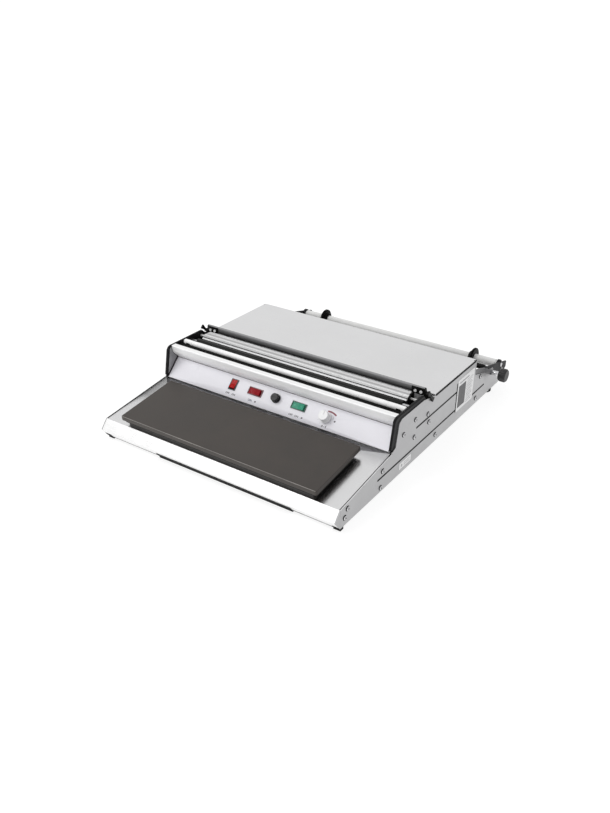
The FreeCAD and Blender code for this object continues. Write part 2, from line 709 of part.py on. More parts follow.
def insulating_strip():
    body = new_body("insulating_strip")
    edge = rectangle("strip_front", "strip_back", "bed_ledge", "strip_high")
    feature = pad(body, "YZ", -CAP_IN, CAP_IN, [edge])
    names = straight_edges(feature, 0, [("strip_front", "strip_high"), ("strip_back", "strip_high")])
    round_over(body, names, 1.2)
    place(body)
    return body


def cutting_rod():
    body = new_body("cutting_rod")
    left, right = size("rod_left_gap") - CAP_IN, CAP_IN - size("rod_right_gap")
    radius = size("rod_radius")
    turned(body, [(left, 0), (left, radius - 2.4), (left + 0.8, radius - 0.9), (left + 2.4, radius),
                  (right - 2.4, radius), (right - 0.8, radius - 0.9), (right, radius - 2.4),
                  (right, 0)])
    place(body, back="rod_back", up="rod_high")
    return body


def rod_holders():
    members = []
    seat = size("rod_radius") + size("running_gap")
    half = size("rod_radius") + 0.6
    for side in (-1, 1):
        body = new_body(f"rod_holder_{word_of(side)}")
        inner = CAP_IN - size("holder_inset")
        low, high = sided(side, inner, inner + size("holder_wide"))
        block = rectangle(size("rod_back") - half, size("rod_back") + half, "bed_floor", "rod_high")
        pad(body, "YZ", low, high, [block])
        pocket(body, "YZ", low, high, rings=[("rod_back", "rod_high", seat)])
        place(body)
        members.append(body)
    return group("rod_holders", members)


def film_roller():
    body = new_body("film_roller")
    half, radius = CAP_IN - size("roller_inset"), size("roller_radius")
    bore = size("roller_axle") + size("running_gap")
    turned(body, [(-half, bore), (-half, radius - 0.6), (-half + 0.6, radius),
                  (half - 0.6, radius), (half, radius - 0.6), (half, bore)])
    place(body, back="roller_back", up="roller_high")
    axle = new_body("film_roller_axle")
    turned(axle, [(-CAP_IN, 0), (-CAP_IN, "roller_axle"), (CAP_IN, "roller_axle"), (CAP_IN, 0)])
    place(axle, back="roller_back", up="roller_high")
    return [body, axle]


def ribbed_bar():
    body = new_body("ribbed_bar")
    left, right = size("bar_left_inset") - CAP_IN, CAP_IN - size("bar_right_inset")
    front, back, high = size("bar_front"), size("bar_back"), size("bar_high")
    under, leg, floor = high - size("bar_thick"), size("bar_leg"), size("bed_floor")
    inset = size(1.2)
    slope = size("bar_slope")
    edge = [(front, under), (front, high - slope), (front + slope, high), (back, high),
            (back, under), (back - inset, under),
            (back - inset, floor), (back - inset - leg, floor), (back - inset - leg, under),
            (front + inset + leg, under), (front + inset + leg, floor), (front + inset, floor),
            (front + inset, under)]
    pad(body, "YZ", left, right, [edge])
    pitch, count = size("rib_pitch"), SIZES["rib_count"]
    first = front + 3.2
    groove = rectangle(left, right, first, first + size("rib_wide"))
    cut = pocket(body, "XY", high - size("rib_deep"), high, [groove])
    repeat_line(body, cut, "XY", "Y", pitch * (count - 1), count)
    place(body)
    return body


def ribbed_bar_pins():
    members = []
    for side in (-1, 1):
        body = new_body(f"ribbed_bar_pin_{word_of(side)}")
        radius = size("bar_pin_radius")
        low, high = sided(side, CAP_IN - size("bar_pin_inset"), CAP_IN)
        turned(body, [(low, 0), (low, radius), (high, radius), (high, 0)])
        place(body, back="bar_pin_back", up="bar_pin_high")
        members.append(body)
    return group("ribbed_bar_pins", members)


def bar_end_guard():
    body = new_body("bar_end_guard")
    floor = size("bed_floor")
    edge = [(232, floor), (232, 101), (236, 107.6), (243.5, 109), (248.5, 104), (248.5, floor)]
    low = CAP_IN - size("bar_right_inset")
    pad(body, "YZ", low, low + 2.6, [edge], [("bar_pin_back", 99.6, 4.9)])
    place(body)
    return body


# Film press bar, clamped by a wing screw at each end
def press_bar():
    body = new_body("press_bar")
    front, back = size("press_front"), size("press_back")
    low, high = size("press_low"), size("press_high")
    half = CAP_IN - size("press_inset")
    edge = [(front, low), (front, high - 1.6), (front + 1.2, high), (back - 1, high),
            (back, high - 1), (back, low)]
    pad(body, "YZ", -half, half, [edge])
    place(body)
    return body


def press_bar_ends():
    members = []
    front = size("press_front")
    strap = size("press_strap")
    pivot_back, pivot_high = size("pivot_back"), size("pivot_high")
    hole = size("wing_shank") + size("running_gap")
    for side in (-1, 1):
        body = new_body(f"press_bar_end_{word_of(side)}")
        ear_in = CAP_IN - size("press_ear_inset")
        ear_out = ear_in + size("press_ear_thick")
        low, high = sided(side, CAP_IN - size("press_strap_inset"), ear_in)
        shank = CAP_IN - size("press_screw_inner"), CAP_IN - size("press_screw_outer")
        rings = [(at * side, "press_screw_high", size("screw_radius") + size("running_gap"))
                 for at in shank]
        pad(body, "XZ", front - strap, front,
            [rectangle(low, high, pivot_high, size("press_high") - 1)], rings)
        low, high = sided(side, ear_in, ear_out)
        ear = [(front - strap, pivot_high - 2), (front - strap, size("press_high") - 1),
               (front + 2, size("press_high") + 0.5), (size("press_back") + 1.5, pivot_high + 4),
               (pivot_back + 4.5, pivot_high), (pivot_back + 2.5, pivot_high - 4),
               (pivot_back - 2, pivot_high - 4.5)]
        pad(body, "YZ", low, high, [ear], [(pivot_back, pivot_high, hole)])
        place(body)
        members.append(body)
    return group("press_bar_ends", members)


def press_bar_screws():
    members = []
    face = size("press_front") - size("press_strap")
    head = size("screw_head_high")
    for side in (-1, 1):
        for spot in ("press_screw_inner", "press_screw_outer"):
            body = new_body(f"{spot}_{word_of(side)}")
            feature = pad(body, "XZ", face - head + 0.6, face, rings=[(0, 0, 2.4)])
            pad(body, "XZ", face, size("press_front"), rings=[(0, 0, "screw_radius")])
            place(body, across=(CAP_IN - size(spot)) * side, up="press_screw_high")
            members.append(body)
    return group("press_bar_screws", members)


def cap_step(back):
    # Height of the end cap's rear step
    run = size("cap_step_back") - size("cap_step_front")
    drop = size("cap_step_high") - size("cap_step_low")
    return size("cap_step_high") - (size(back) - size("cap_step_front")) * drop / run


def press_bar_brackets():
    # Upright wall on the end cap's rear step, with a block against the side plate
    members = []
    pivot = ("pivot_back", "pivot_high", size("wing_shank") + size("running_gap"))
    front, back = size("bracket_front"), size("bracket_back")
    high = size("bracket_high")
    step = [(front, cap_step(front)), (back, cap_step(back))]
    inner = CAP_IN + size("bracket_thick")
    for side in (-1, 1):
        body = new_body(f"press_bar_bracket_{word_of(side)}")
        wall = step + [(back, high - 4), (back - 3.5, high), (front + 1.5, high), (front, high - 2)]
        low, top = sided(side, CAP_IN, inner)
        pad(body, "YZ", low, top, [wall], [pivot])
        block = step + [(back, "bracket_foot"), (front, "bracket_foot")]
        low, top = sided(side, inner, PLATE_IN)
        pad(body, "YZ", low, top, [block])
        place(body)
        members.append(body)
    return group("press_bar_brackets", members)


def wing_screw(side):
    # Shank through bracket and bar end, hub over the side plate, two blades outside it
    body = new_body(f"wing_screw_{word_of(side)}")
    inner = CAP_IN - size("press_ear_inset")
    seat = CAP_IN + size("bracket_thick") + size("running_gap")
    shank, hub = size("wing_shank"), size("wing_hub")
    end = HALF + size("wing_out")
    points = [(inner, 0), (inner, shank), (seat, shank), (seat, hub), (end - 0.8, hub),
              (end, hub - 0.8), (end, 0)]
    turned(body, [(a * side, b) for a, b in points])
    reach, half = size("wing_reach"), size("wing_half")
    slant = math.sqrt(0.5)
    shape = [(reach * 0.1, -half * 0.36), (reach * 0.6, -half * 0.7), (reach * 0.92, -half),
             (reach, -half * 0.7), (reach, half * 0.7), (reach * 0.92, half),
             (reach * 0.6, half * 0.7), (reach * 0.1, half * 0.36)]
    for way in (-1, 1):
        blade = [((lift - along * way) * slant, (lift + along * way) * slant)
                 for along, lift in shape]
        low, high = sided(side, end - 3, end - 0.4)
        pad(body, "YZ", low, high, [blade])
    place(body, back="pivot_back", up="pivot_high")
    return body


# Cover
def cover():
    body = new_body("cover")
    gauge = GAUGE
    low, high = COVER_LOW, COVER_LOW + gauge
    edge = HALF - size("cover_inset")
    front, back = size("cover_front"), size("cover_back")
    notch_in, notch_front = PLATE_IN - 0.5, size("hinge_back") - 6
    plate = [(-edge, front), (edge, front), (edge, notch_front), (notch_in, notch_front),
             (notch_in, back), (-notch_in, back), (-notch_in, notch_front), (-edge, notch_front)]
    pad(body, "XY", low, high, [plate])
    ear_in = (PLATE_IN - size("hinge_ear_inset"))
    lip = size("cover_lip")
    across = [(-ear_in, low - lip), (ear_in, low - lip), (ear_in, low), (-ear_in, low)]
    pad(body, "XZ", front, front + gauge, [across])
    pad(body, "XZ", back - gauge, back, [across])
    pivot_back, pivot_high = size("hinge_back"), size("hinge_high")
    hole = size("hinge_pin") + size("running_gap")
    for side in (-1, 1):
        start, end = sided(side, ear_in, ear_in + gauge)
        ear = [(pivot_back - 9, low), (pivot_back - 4, pivot_high - 4),
               (back, pivot_high - 4), (back, low)]
        pad(body, "YZ", start, end, [ear], [(pivot_back - 1.5, pivot_high, hole)])
    place(body)
    return body


def cover_hinge_pins():
    members = []
    radius = size("hinge_pin")
    for side in (-1, 1):
        body = new_body(f"cover_hinge_pin_{word_of(side)}")
        low, high = sided(side, (PLATE_IN - size("hinge_ear_inset")) - 3, PLATE_IN)
        turned(body, [(low, 0), (low, radius), (high, radius), (high, 0)])
        place(body, back=size("hinge_back") - 1.5, up="hinge_high")
        members.append(body)
    return group("cover_hinge_pins", members)


def cover_bumpers():
    # Strips on the side flanges that the cover rests on
    members = []
    front, back = size("rest_flange_front") + 1, size("rest_flange_back") - 1
    for side in (-1, 1):
        body = new_body(f"cover_bumper_{word_of(side)}")
        low, high = sided(side, PLATE_IN - size("bumper_wide"), HALF - size("bumper_edge"))
        pad(body, "XY", "cover_seat_high", COVER_LOW, [rectangle(low, high, front, back)])
        place(body)
        members.append(body)
    return group("cover_bumpers", members)


def inner_deck():
    body = new_body("inner_deck")
    low = size("deck_high")
    high = low + GAUGE
    front, back, drop = size("deck_front"), size("deck_back"), size("deck_flange")
    edge = [(front, low - drop), (front + GAUGE, low - drop), (front + GAUGE, low),
            (back - GAUGE, low), (back - GAUGE, low - drop), (back, low - drop), (back, high),
            (front, high)]
    pad(body, "YZ", -FLANGE_IN, FLANGE_IN, [edge])
    for side in (-1, 1):
        start, end = sided(side, FLANGE_IN, PLATE_IN)
        pad(body, "YZ", start, end, [rectangle(front, back, low, high + 8)])
    place(body)
    return body


# Film cradle
def cradle_roller(name, spot, radius, inset, axle):
    body = new_body(name)
    radius, half = size(radius), arm_span()[0] - size(inset)
    bore, collar = size(axle) + size("running_gap"), radius - 1.2
    turned(body, [(-half, bore), (-half, collar), (-half + 3, collar), (-half + 3, radius),
                  (half - 3, radius), (half - 3, collar), (half, collar), (half, bore)])
    place(body, back=spot[0], up=spot[1])
    return body


def cradle_shafts():
    front = new_body("cradle_front_axle")
    end, radius = arm_span()[1], size("front_axle")
    turned(front, [(-end, 0), (-end, radius), (end, radius), (end, 0)])
    place(front, back=front_spot()[0], up=front_spot()[1])
    rear = new_body("cradle_rear_shaft")
    end, radius = arm_span()[1] + 1.2, size("cradle_shaft")
    turned(rear, [(-end, 0), (-end, radius), (end, radius), (end, 0)])
    place(rear, back=rear_spot()[0], up=rear_spot()[1])
    return [front, rear]


def film_disc(side):
    # Flange outside, tapered hub towards the film core
    body = new_body(f"film_disc_{word_of(side)}")
    bore = size("cradle_radius") + size("running_gap")
    radius, hub = size("disc_radius"), size("disc_hub")
    thick, reach = size("disc_thick"), size("disc_hub_long")
    points = [(0, bore), (0, radius - 1), (1, radius), (thick - 2, radius), (thick, radius - 2),
              (thick, hub + 2), (reach - 1, hub), (reach, hub - 1), (reach, bore)]
    turned(body, [(-a * side, b) for a, b in [(size(a), b) for a, b in points]])
    outer = arm_span()[0] - size("disc_inset")
    place(body, across=outer * side, back=rear_spot()[0], up=rear_spot()[1])
    return body


def arm_span():
    outer = PLATE_IN - size("bracket_plate") - 0.1
    return outer - size("arm_plate"), outer


def bolt_spot(back=0, up=0):
    # Clamp bolt's centre in the side view, or a spot beside it
    return size("rear_edge") - size("bolt_inset") + back, size("bolt_high") + up


def front_spot():
    return bolt_spot(-size("axle_forward"), "axle_lift")


def rear_spot(back=0, up=0):
    middle = bolt_spot("rear_reach", -size("rear_drop"))
    return middle[0] + back, middle[1] + up


def cradle_bracket(side):
    body = new_body(f"cradle_bracket_{word_of(side)}")
    bolt = bolt_spot()
    edge = [("step_back", 71.5), (468, 66), (493, 57.5), bolt_spot(-10, 9.5), bolt_spot(3, 9),
            bolt_spot(9, 3), bolt_spot(9, -3), bolt_spot(2, -10), bolt_spot(-28, -10),
            ("step_back", 44)]
    rings = [(bolt[0], bolt[1], size("bolt_radius") + size("running_gap")),
             ("arm_screw_back", "arm_screw_high", size("screw_radius") + size("running_gap"))]
    low, high = sided(side, PLATE_IN - size("bracket_plate"), PLATE_IN)
    pad(body, "YZ", low, high, [edge], rings)
    place(body)
    return body


def cradle_arm(side):
    # Slotted plate that slides along its own slope past the clamp bolt
    body = new_body(f"cradle_arm_{word_of(side)}")
    reach = size("tip_reach")
    edge = [bolt_spot(-28, 20.6), rear_spot(-4.5, 6.9), rear_spot(reach - 1.5, -1.7),
            rear_spot(reach, -3.2), rear_spot(reach - 0.5, -14.2), rear_spot(18.5, -17.9),
            rear_spot(15.5, -12.7), rear_spot(12.5, -5.7), rear_spot(8, -5.7),
            rear_spot(8.5, -13.7), rear_spot(-5.5, -13.7), bolt_spot(25, -14),
            bolt_spot(-23, -2), bolt_spot(-31, 7)]
    low, high = sided(side, *arm_span())
    shaft = rear_spot() + (size("cradle_shaft"),)
    pad(body, "YZ", low, high, [edge], [shaft, front_spot() + (size("front_axle"),)])
    low, high = sided(side, arm_span()[0] - size("boss_inset"), arm_span()[0])
    boss = rear_spot() + (size("boss_radius"),)
    pad(body, "YZ", low, high, rings=[boss, shaft])
    low, high = sided(side, *arm_span())
    run, drop = size("arm_run"), size("arm_drop")
    length = root(run * run + drop * drop)
    along = (run / length, drop / length)
    half = size("bolt_radius") + 0.15
    bolt = bolt_spot()

    def slot_corner(reach, lift):
        return (bolt[0] + along[0] * reach + along[1] * lift,
                bolt[1] - along[1] * reach + along[0] * lift)

    forward, backward = -size("slot_forward"), size("slot_backward")
    slot = [slot_corner(forward, -half), slot_corner(backward, -half),
            slot_corner(backward, half), slot_corner(forward, half)]
    pocket(body, "YZ", low, high, [slot])
    place(body)
    return body


def clamp_parts():
    knobs, bolts = [], []
    inner, outer = arm_span()
    for side in (-1, 1):
        word = word_of(side)
        knob = new_body(f"clamp_knob_{word}")
        start = HALF + size("clamp_reach")
        end = start + size("clamp_thick")
        radius = size("clamp_radius")
        points = [(start, 0), (start, radius - 2), (start + 3, radius), (end - 2, radius),
                  (end, radius - 2), (end, 0)]
        turned(knob, [(a * side, b) for a, b in points])
        low, high = sided(side, start, end)
        flute = pocket(knob, "YZ", low, high, rings=[(radius + 0.9, 0, 2.2)])
        repeat_round(knob, flute, "X", SIZES["clamp_flutes"])
        place(knob, back=bolt_spot()[0], up=bolt_spot()[1])
        knobs.append(knob)
        bolt = new_body(f"clamp_bolt_{word}")
        head = inner - 0.3
        cap = size("bolt_head")
        points = [(head - 2.5, 0), (head - 2.5, cap), (head, cap), (head, "bolt_radius"),
                  (PLATE_IN, "bolt_radius"), (PLATE_IN, "sleeve_radius"),
                  (start, "sleeve_radius"), (start, 0)]
        turned(bolt, [(a * side, b) for a, b in points])
        place(bolt, back=bolt_spot()[0], up=bolt_spot()[1])
        bolts.append(bolt)
    return knobs + [group("clamp_bolts", bolts)]


# Fasteners and electrics
def side_screws(side):
    members = []
    head, high = size("screw_head"), size("screw_head_high")
    shank = size("screw_radius")
    for number, (back, up) in enumerate(side_screw_spots(), start=1):
        body = new_body(f"side_screw_{word_of(side)}_{number}")
        deep = size("side_gauge") + 3 if 5 <= number <= 9 else size("side_gauge") + 1
        points = [(HALF - deep, 0), (HALF - deep, shank), (HALF, shank), (HALF, head),
                  (HALF + high * 0.5, head * 0.93), (HALF + high, head * 0.5), (HALF + high, 0)]
        turned(body, [(a * side, b) for a, b in points])
        place(body, back=back, up=up)
        members.append(body)
    return group(f"side_screws_{word_of(side)}", members)


def transformer():
    body = new_body("transformer")
    long, deep, high = size("core_long"), size("core_deep"), size("core_high")
    middle, coil = size("core_back"), size("coil_reach")
    low = GAUGE
    pad(body, "XY", low, low + high,
        [rectangle(-long / 2, long / 2, middle - deep / 2, middle + deep / 2)])
    pad(body, "XZ", middle - deep / 2 - coil, middle + deep / 2 + coil,
        [rectangle(-long / 4, long / 4, low + coil, low + high - coil)])
    pad(body, "XY", low, low + 2,
        [rectangle(-long / 2 - coil, long / 2 + coil, middle - deep / 2, middle + deep / 2)])
    place(body)
    return body


def terminal_block():
    body = new_body("terminal_block")
    long, deep, high = size("block_long"), size("block_deep"), size("block_high")
    left, front = size("block_left"), size("block_front")
    low = GAUGE
    pad(body, "XY", low, low + high * 0.6, [rectangle(left, left + long, front, front + deep)])
    pad(body, "XY", low + high * 0.6, low + high,
        [rectangle(left, left + long, front + 5, front + deep - 5)])
    cut = pocket(body, "XY", low + 3, low + high,
                 [rectangle(left + 9.2, left + 10.8, front, front + deep)])
    repeat_line(body, cut, "XY", "X", 40, 5)
    place(body)
    return body


def build_all():
    nodes = []
    for side in (-1, 1):
        nodes += [side_plate(side), end_cap(side), wing_screw(side), film_disc(side),
                  cradle_bracket(side), cradle_arm(side), side_screws(side)]
    nodes += [base_pan(), tray(), front_lip(), lip_ends(), rubber_feet()]
    nodes += [hot_plate(), plate_heater(), plate_pan(), control_panel()]
    nodes += switch_parts("mains", "mains_across", "mains_up", "mains_long", "mains_short", 90.0, 1)
    nodes += switch_parts("rod", "rod_across", "wide_up", "wide_long", "wide_short", 0.0, -1)
    nodes += switch_parts("plate", "plate_across", "wide_up", "wide_long", "wide_short", 0.0, -1)
    nodes += fuse_parts() + temperature_parts()
    nodes += [nose_profile(), bar_bed(), insulating_strip(), cutting_rod(), rod_holders()]
    nodes += film_roller() + [ribbed_bar(), ribbed_bar_pins(), bar_end_guard()]
    nodes += [press_bar(), press_bar_ends(), press_bar_screws(), press_bar_brackets()]
    nodes += [cover(), cover_hinge_pins(), cover_bumpers(), inner_deck()]
    nodes += [cradle_roller("cradle_roller_front", front_spot(), "front_radius", "front_inset",
                            "front_axle"),
              cradle_roller("cradle_roller_rear", rear_spot(), "cradle_radius", "rear_inset",
                            "cradle_shaft")]
    nodes += cradle_shafts() + clamp_parts() + [transformer(), terminal_block()]
    return nodes


nodes = build_all()
doc.recompute()
for thing in doc.Objects:
    if "Invalid" in thing.State or "Error" in thing.State:
        raise ValueError(f"{thing.Label} did not build: {thing.State}")
os.makedirs("parts", exist_ok=True)
for node in nodes:
    if node.Shape.isNull() or not node.Shape.isValid() or not node.Shape.Solids:
        raise ValueError(f"{node.Label} has no valid solid")
    node.Shape.exportStep(f"parts/{node.Label}.step")
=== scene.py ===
import bpy
import bmesh
import json
import math
from mathutils import Matrix, Vector


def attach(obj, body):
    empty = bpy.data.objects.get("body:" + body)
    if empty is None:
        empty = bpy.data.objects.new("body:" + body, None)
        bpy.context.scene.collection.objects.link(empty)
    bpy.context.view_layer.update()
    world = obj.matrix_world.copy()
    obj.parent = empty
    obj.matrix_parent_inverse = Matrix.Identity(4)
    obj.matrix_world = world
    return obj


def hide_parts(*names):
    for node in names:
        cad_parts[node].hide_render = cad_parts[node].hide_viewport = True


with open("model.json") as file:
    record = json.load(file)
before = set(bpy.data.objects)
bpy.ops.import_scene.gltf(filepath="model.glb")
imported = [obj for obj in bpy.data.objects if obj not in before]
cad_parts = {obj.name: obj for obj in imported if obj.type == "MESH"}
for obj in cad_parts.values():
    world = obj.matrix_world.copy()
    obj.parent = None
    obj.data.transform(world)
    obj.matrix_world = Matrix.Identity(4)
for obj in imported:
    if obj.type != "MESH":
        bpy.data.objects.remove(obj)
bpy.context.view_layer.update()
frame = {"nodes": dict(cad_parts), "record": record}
NODES = frame["nodes"]
MM = 0.001

# Where the maker's local origin lies in the frame, in millimetres
BACK, UP = -297.25, 4.5
# Half the housing's width, and the inner faces of its side plates and end caps
HALF, PLATE_IN, CAP_IN = 230.0, 228.5, 224.3
PANEL_FOOT, PANEL_ANGLE = (146.0, 52.0), math.atan2(29.5, 30.0)
TRAY_ANGLE, TRAY_TOP = math.atan2(49.6 - 31.0, 145.0), 32.2
ROD_BACK, ROD_HIGH = 195, 102.9
# Screws of a side plate: how far back and how high each one is
SCREW_SPOTS = [(118, 35), (114, 7.5), (19, 25), (12, 13), (179.5, 68.4), (217, 46), (217.6, 77.3),
               (261.4, 67.4), (266.8, 50.5), (296, 13), (458.8, 11.1), (471, 49.6)]


def spot(across, back, up):
    # From the maker's local millimetres to the frame's metres
    return Vector((across * MM, (back + BACK) * MM, (up + UP) * MM))


# Materials

def new_material(name, colour, roughness, metallic=0.0, **sockets):
    mat = bpy.data.materials.new(name)
    mat.use_nodes = True
    shader = mat.node_tree.nodes["Principled BSDF"]
    shader.inputs["Base Color"].default_value = (*colour, 1)
    shader.inputs["Roughness"].default_value = roughness
    shader.inputs["Metallic"].default_value = metallic
    for socket, value in sockets.items():
        shader.inputs[socket].default_value = value
    return mat, mat.node_tree, shader


def coordinates(tree, stretch=(1, 1, 1), turn=(0, 0, 0)):
    place = tree.nodes.new("ShaderNodeTexCoord")
    mapping = tree.nodes.new("ShaderNodeMapping")
    mapping.inputs["Scale"].default_value = stretch
    mapping.inputs["Rotation"].default_value = turn
    tree.links.new(place.outputs["Object"], mapping.inputs["Vector"])
    return mapping.outputs["Vector"]


def noise(tree, vector, scale, detail=3, roughness=0.6, distortion=0.0):
    texture = tree.nodes.new("ShaderNodeTexNoise")
    texture.inputs["Scale"].default_value = scale
    texture.inputs["Detail"].default_value = detail
    texture.inputs["Roughness"].default_value = roughness
    texture.inputs["Distortion"].default_value = distortion
    tree.links.new(vector, texture.inputs["Vector"])
    return texture.outputs["Fac"]


def ramp_value(tree, value, low, high, start=0.3, end=0.7):
    span = tree.nodes.new("ShaderNodeMapRange")
    span.inputs["From Min"].default_value = start
    span.inputs["From Max"].default_value = end
    span.inputs["To Min"].default_value = low
    span.inputs["To Max"].default_value = high
    tree.links.new(value, span.inputs["Value"])
    return span.outputs["Result"]


def math_node(tree, kind, a, b=None):
    node = tree.nodes.new("ShaderNodeMath")
    node.operation = kind
    for index, value in enumerate((a, b)):
        if value is None:
            continue
        if isinstance(value, (int, float)):
            node.inputs[index].default_value = value
        else:
            tree.links.new(value, node.inputs[index])
    return node.outputs[0]


def mix_colour(tree, factor, first, second):
    mix = tree.nodes.new("ShaderNodeMix")
    mix.data_type = "RGBA"
    # Inputs 6 and 7 and output 2 are the node's colour sockets
    tree.links.new(factor, mix.inputs[0])
    mix.inputs[6].default_value = (*first, 1)
    mix.inputs[7].default_value = (*second, 1)
    return mix.outputs[2]


def add_bump(tree, shader, height, strength, distance=0.0002):
    bump = tree.nodes.new("ShaderNodeBump")
    bump.inputs["Strength"].default_value = strength
    bump.inputs["Distance"].default_value = distance
    tree.links.new(height, bump.inputs["Height"])
    tree.links.new(bump.outputs["Normal"], shader.inputs["Normal"])


def shade(colour, factor):
    return tuple(min(1.0, c * factor) for c in colour)


def brushed(name, colour, roughness, along="x", strength=0.06, spread=0.05, vary=0.06, metal=1.0):
    # Sheet steel with fine lines along one axis and faint hand marks
    mat, tree, shader = new_material(name, colour, roughness, metal)
    long, fine = 6, 1100
    stretch = tuple(long if axis == along else fine for axis in "xyz")
    lines = noise(tree, coordinates(tree, stretch), 1.0, 4, 0.65)
    clouds = noise(tree, coordinates(tree), 9.0, 4, 0.55)
    marks = noise(tree, coordinates(tree), 45.0, 2, 0.5)
    tone = math_node(tree, "ADD", math_node(tree, "MULTIPLY", lines, 0.5),
                     math_node(tree, "MULTIPLY", clouds, 0.5))
    tint = mix_colour(tree, ramp_value(tree, tone, 0, 1, 0.35, 0.65),
                      shade(colour, 1 - spread), shade(colour, 1 + spread))
    tree.links.new(tint, shader.inputs["Base Color"])
    rough = math_node(tree, "ADD", ramp_value(tree, lines, roughness - vary, roughness + vary),
                      ramp_value(tree, marks, -0.5 * vary, 0.6 * vary))
    tree.links.new(rough, shader.inputs["Roughness"])
    add_bump(tree, shader, lines, strength, 0.00012)
    return mat


def plastic(name, colour, roughness, grain=900.0, strength=0.08, spread=0.12, **sockets):
    # Moulded plastic or paint: fine grain, a little dust and rubbed places
    mat, tree, shader = new_material(name, colour, roughness, **sockets)
    fine = noise(tree, coordinates(tree), grain, 2, 0.5)
    broad = noise(tree, coordinates(tree), 28.0, 4, 0.6)
    tint = mix_colour(tree, ramp_value(tree, broad, 0, 1, 0.38, 0.68),
                      shade(colour, 1 - spread), shade(colour, 1 + spread))
    tree.links.new(tint, shader.inputs["Base Color"])
    rough = ramp_value(tree, broad, roughness - 0.05, roughness + 0.07)
    tree.links.new(rough, shader.inputs["Roughness"])
    add_bump(tree, shader, fine, strength, 0.00008)
    return mat


# How strongly a black or coloured plastic reflects the white room
SATIN = {"Specular IOR Level": 0.25}
DULL = {"Specular IOR Level": 0.12}
FLAT = {"Specular IOR Level": 0.04}
BRIGHT_RED, DARK_RED, GREEN = (0.42, 0.008, 0.008), (0.30, 0.005, 0.012), (0.055, 0.33, 0.21)

# brushed takes the colour, roughness, direction of its lines, their depth, the spread of its
# tone, the change of its roughness and the share of metal; plastic takes the colour, roughness,
# fineness of its grain, the grain's depth and the spread of its tone
MATERIALS = {
    "housing_steel": brushed("housing steel", (0.430, 0.430, 0.435), 0.36, "y"),
    "tray_steel": brushed("tray steel", (0.79, 0.79, 0.795), 0.23, "x", 0.008, 0.02, 0.012),
    # Painted light: the lip takes a lighter copy of the tray steel, for the light its front face
    # catches
    "lip_steel": brushed("lip steel painted light", (0.93, 0.93, 0.93), 0.30, "x", 0.03, 0.02),
    "cover_steel": brushed("cover steel", (0.80, 0.80, 0.805), 0.34, "x", 0.05, 0.02),
    "nose_polished": brushed("polished aluminium", (0.97, 0.97, 0.97), 0.30, "x",
                             0.0, 0.008, 0.02, 0.10),
    "ribbed_aluminium": brushed("extruded aluminium", (0.84, 0.84, 0.845), 0.30, "x",
                                0.0, 0.02, 0.02),
    "axle_steel": brushed("turned steel", (0.55, 0.55, 0.56), 0.28, "z", 0.08, 0.06),
    "thermostat_metal": brushed("thermostat metal", (0.50, 0.50, 0.50), 0.4, "x"),
    "sleeve_bright": brushed("plated steel", (0.72, 0.72, 0.73), 0.2, "x", 0.04, 0.04),
    "screw_bright": brushed("screw steel", (0.60, 0.60, 0.61), 0.30, "x", 0.04, 0.05),
    "panel_white": plastic("panel paint", (0.835, 0.825, 0.87), 0.32, 700, 0.04, 0.012),
    "cap_black": plastic("cap plastic", (0.011, 0.011, 0.012), 0.44, 1600, 0.12, **DULL),
    "strip_black": plastic("insulating strip", (0.002, 0.002, 0.002), 0.6, **FLAT),
    "bed_black": plastic("bed paint", (0.003, 0.003, 0.003), 0.6, **FLAT),
    "pin_white": plastic("pin nylon", (0.80, 0.80, 0.79), 0.35, 900, 0.03, 0.02),
    "holder_dark": plastic("holder plastic", (0.010, 0.010, 0.010), 0.5, **DULL),
    "roller_black": plastic("film roller rubber", (0.014, 0.014, 0.014), 0.2, 900, 0.03, **DULL),
    "guard_black": plastic("guard plastic", (0.007, 0.007, 0.007), 0.38, **DULL),
    "wing_black": plastic("wing screw plastic", (0.006, 0.006, 0.006), 0.36, **DULL),
    "clamp_black": plastic("clamp knob plastic", (0.015, 0.015, 0.016), 0.42, 1600, 0.14),
    "disc_black": plastic("disc plastic", (0.004, 0.004, 0.004), 0.34, **FLAT),
    "roller_white": plastic("cradle roller plastic", (0.82, 0.82, 0.81), 0.4, 900, 0.05, 0.02),
    "arm_dark": plastic("arm powder coat", (0.016, 0.016, 0.018), 0.48, 1400, 0.3, **DULL),
    "foot_rubber": plastic("foot rubber", (0.010, 0.010, 0.010), 0.7, 1200, 0.3, **DULL),
    "switch_black": plastic("switch black", (0.014, 0.014, 0.015), 0.3),
    "switch_maroon": plastic("switch maroon", (0.14, 0.007, 0.014), 0.22),
    "switch_green": plastic("switch green", (0.008, 0.070, 0.046), 0.22),
    "rocker_bright_red": plastic("rocker bright red", BRIGHT_RED, 0.16, 600, 0.02, **DULL),
    "rocker_dark_red": plastic("rocker dark red", DARK_RED, 0.16, 600, 0.02, **DULL),
    "rocker_green": plastic("rocker green", GREEN, 0.16, 600, 0.02, **DULL),
    "fuse_black": plastic("fuse cap plastic", (0.004, 0.004, 0.005), 0.18, **SATIN),
    "knob_white": plastic("knob white", (0.86, 0.86, 0.86), 0.25, 800, 0.03, 0.02),
    "core_iron": plastic("core varnish", (0.07, 0.068, 0.07), 0.45, Metallic=0.4),
    "block_cream": plastic("terminal cream", (0.68, 0.65, 0.56), 0.4),
    "pan_dark": plastic("pan paint", (0.032, 0.029, 0.027), 0.45),
    "heater_mat": plastic("heater silicone", (0.33, 0.08, 0.045), 0.7),
}


def glow(shader, strength):
    shader.inputs["Emission Color"].default_value = (1, 1, 1, 1)
    shader.inputs["Emission Strength"].default_value = strength


def ripple(tree, source, step):
    return math_node(tree, "SINE", math_node(tree, "MULTIPLY", source, 2 * math.pi / step))


# Painted light: the taped rod and its labels glow a little, so that their shaded sides stay bright
ROD_PAINTED_GLOW = 0.12


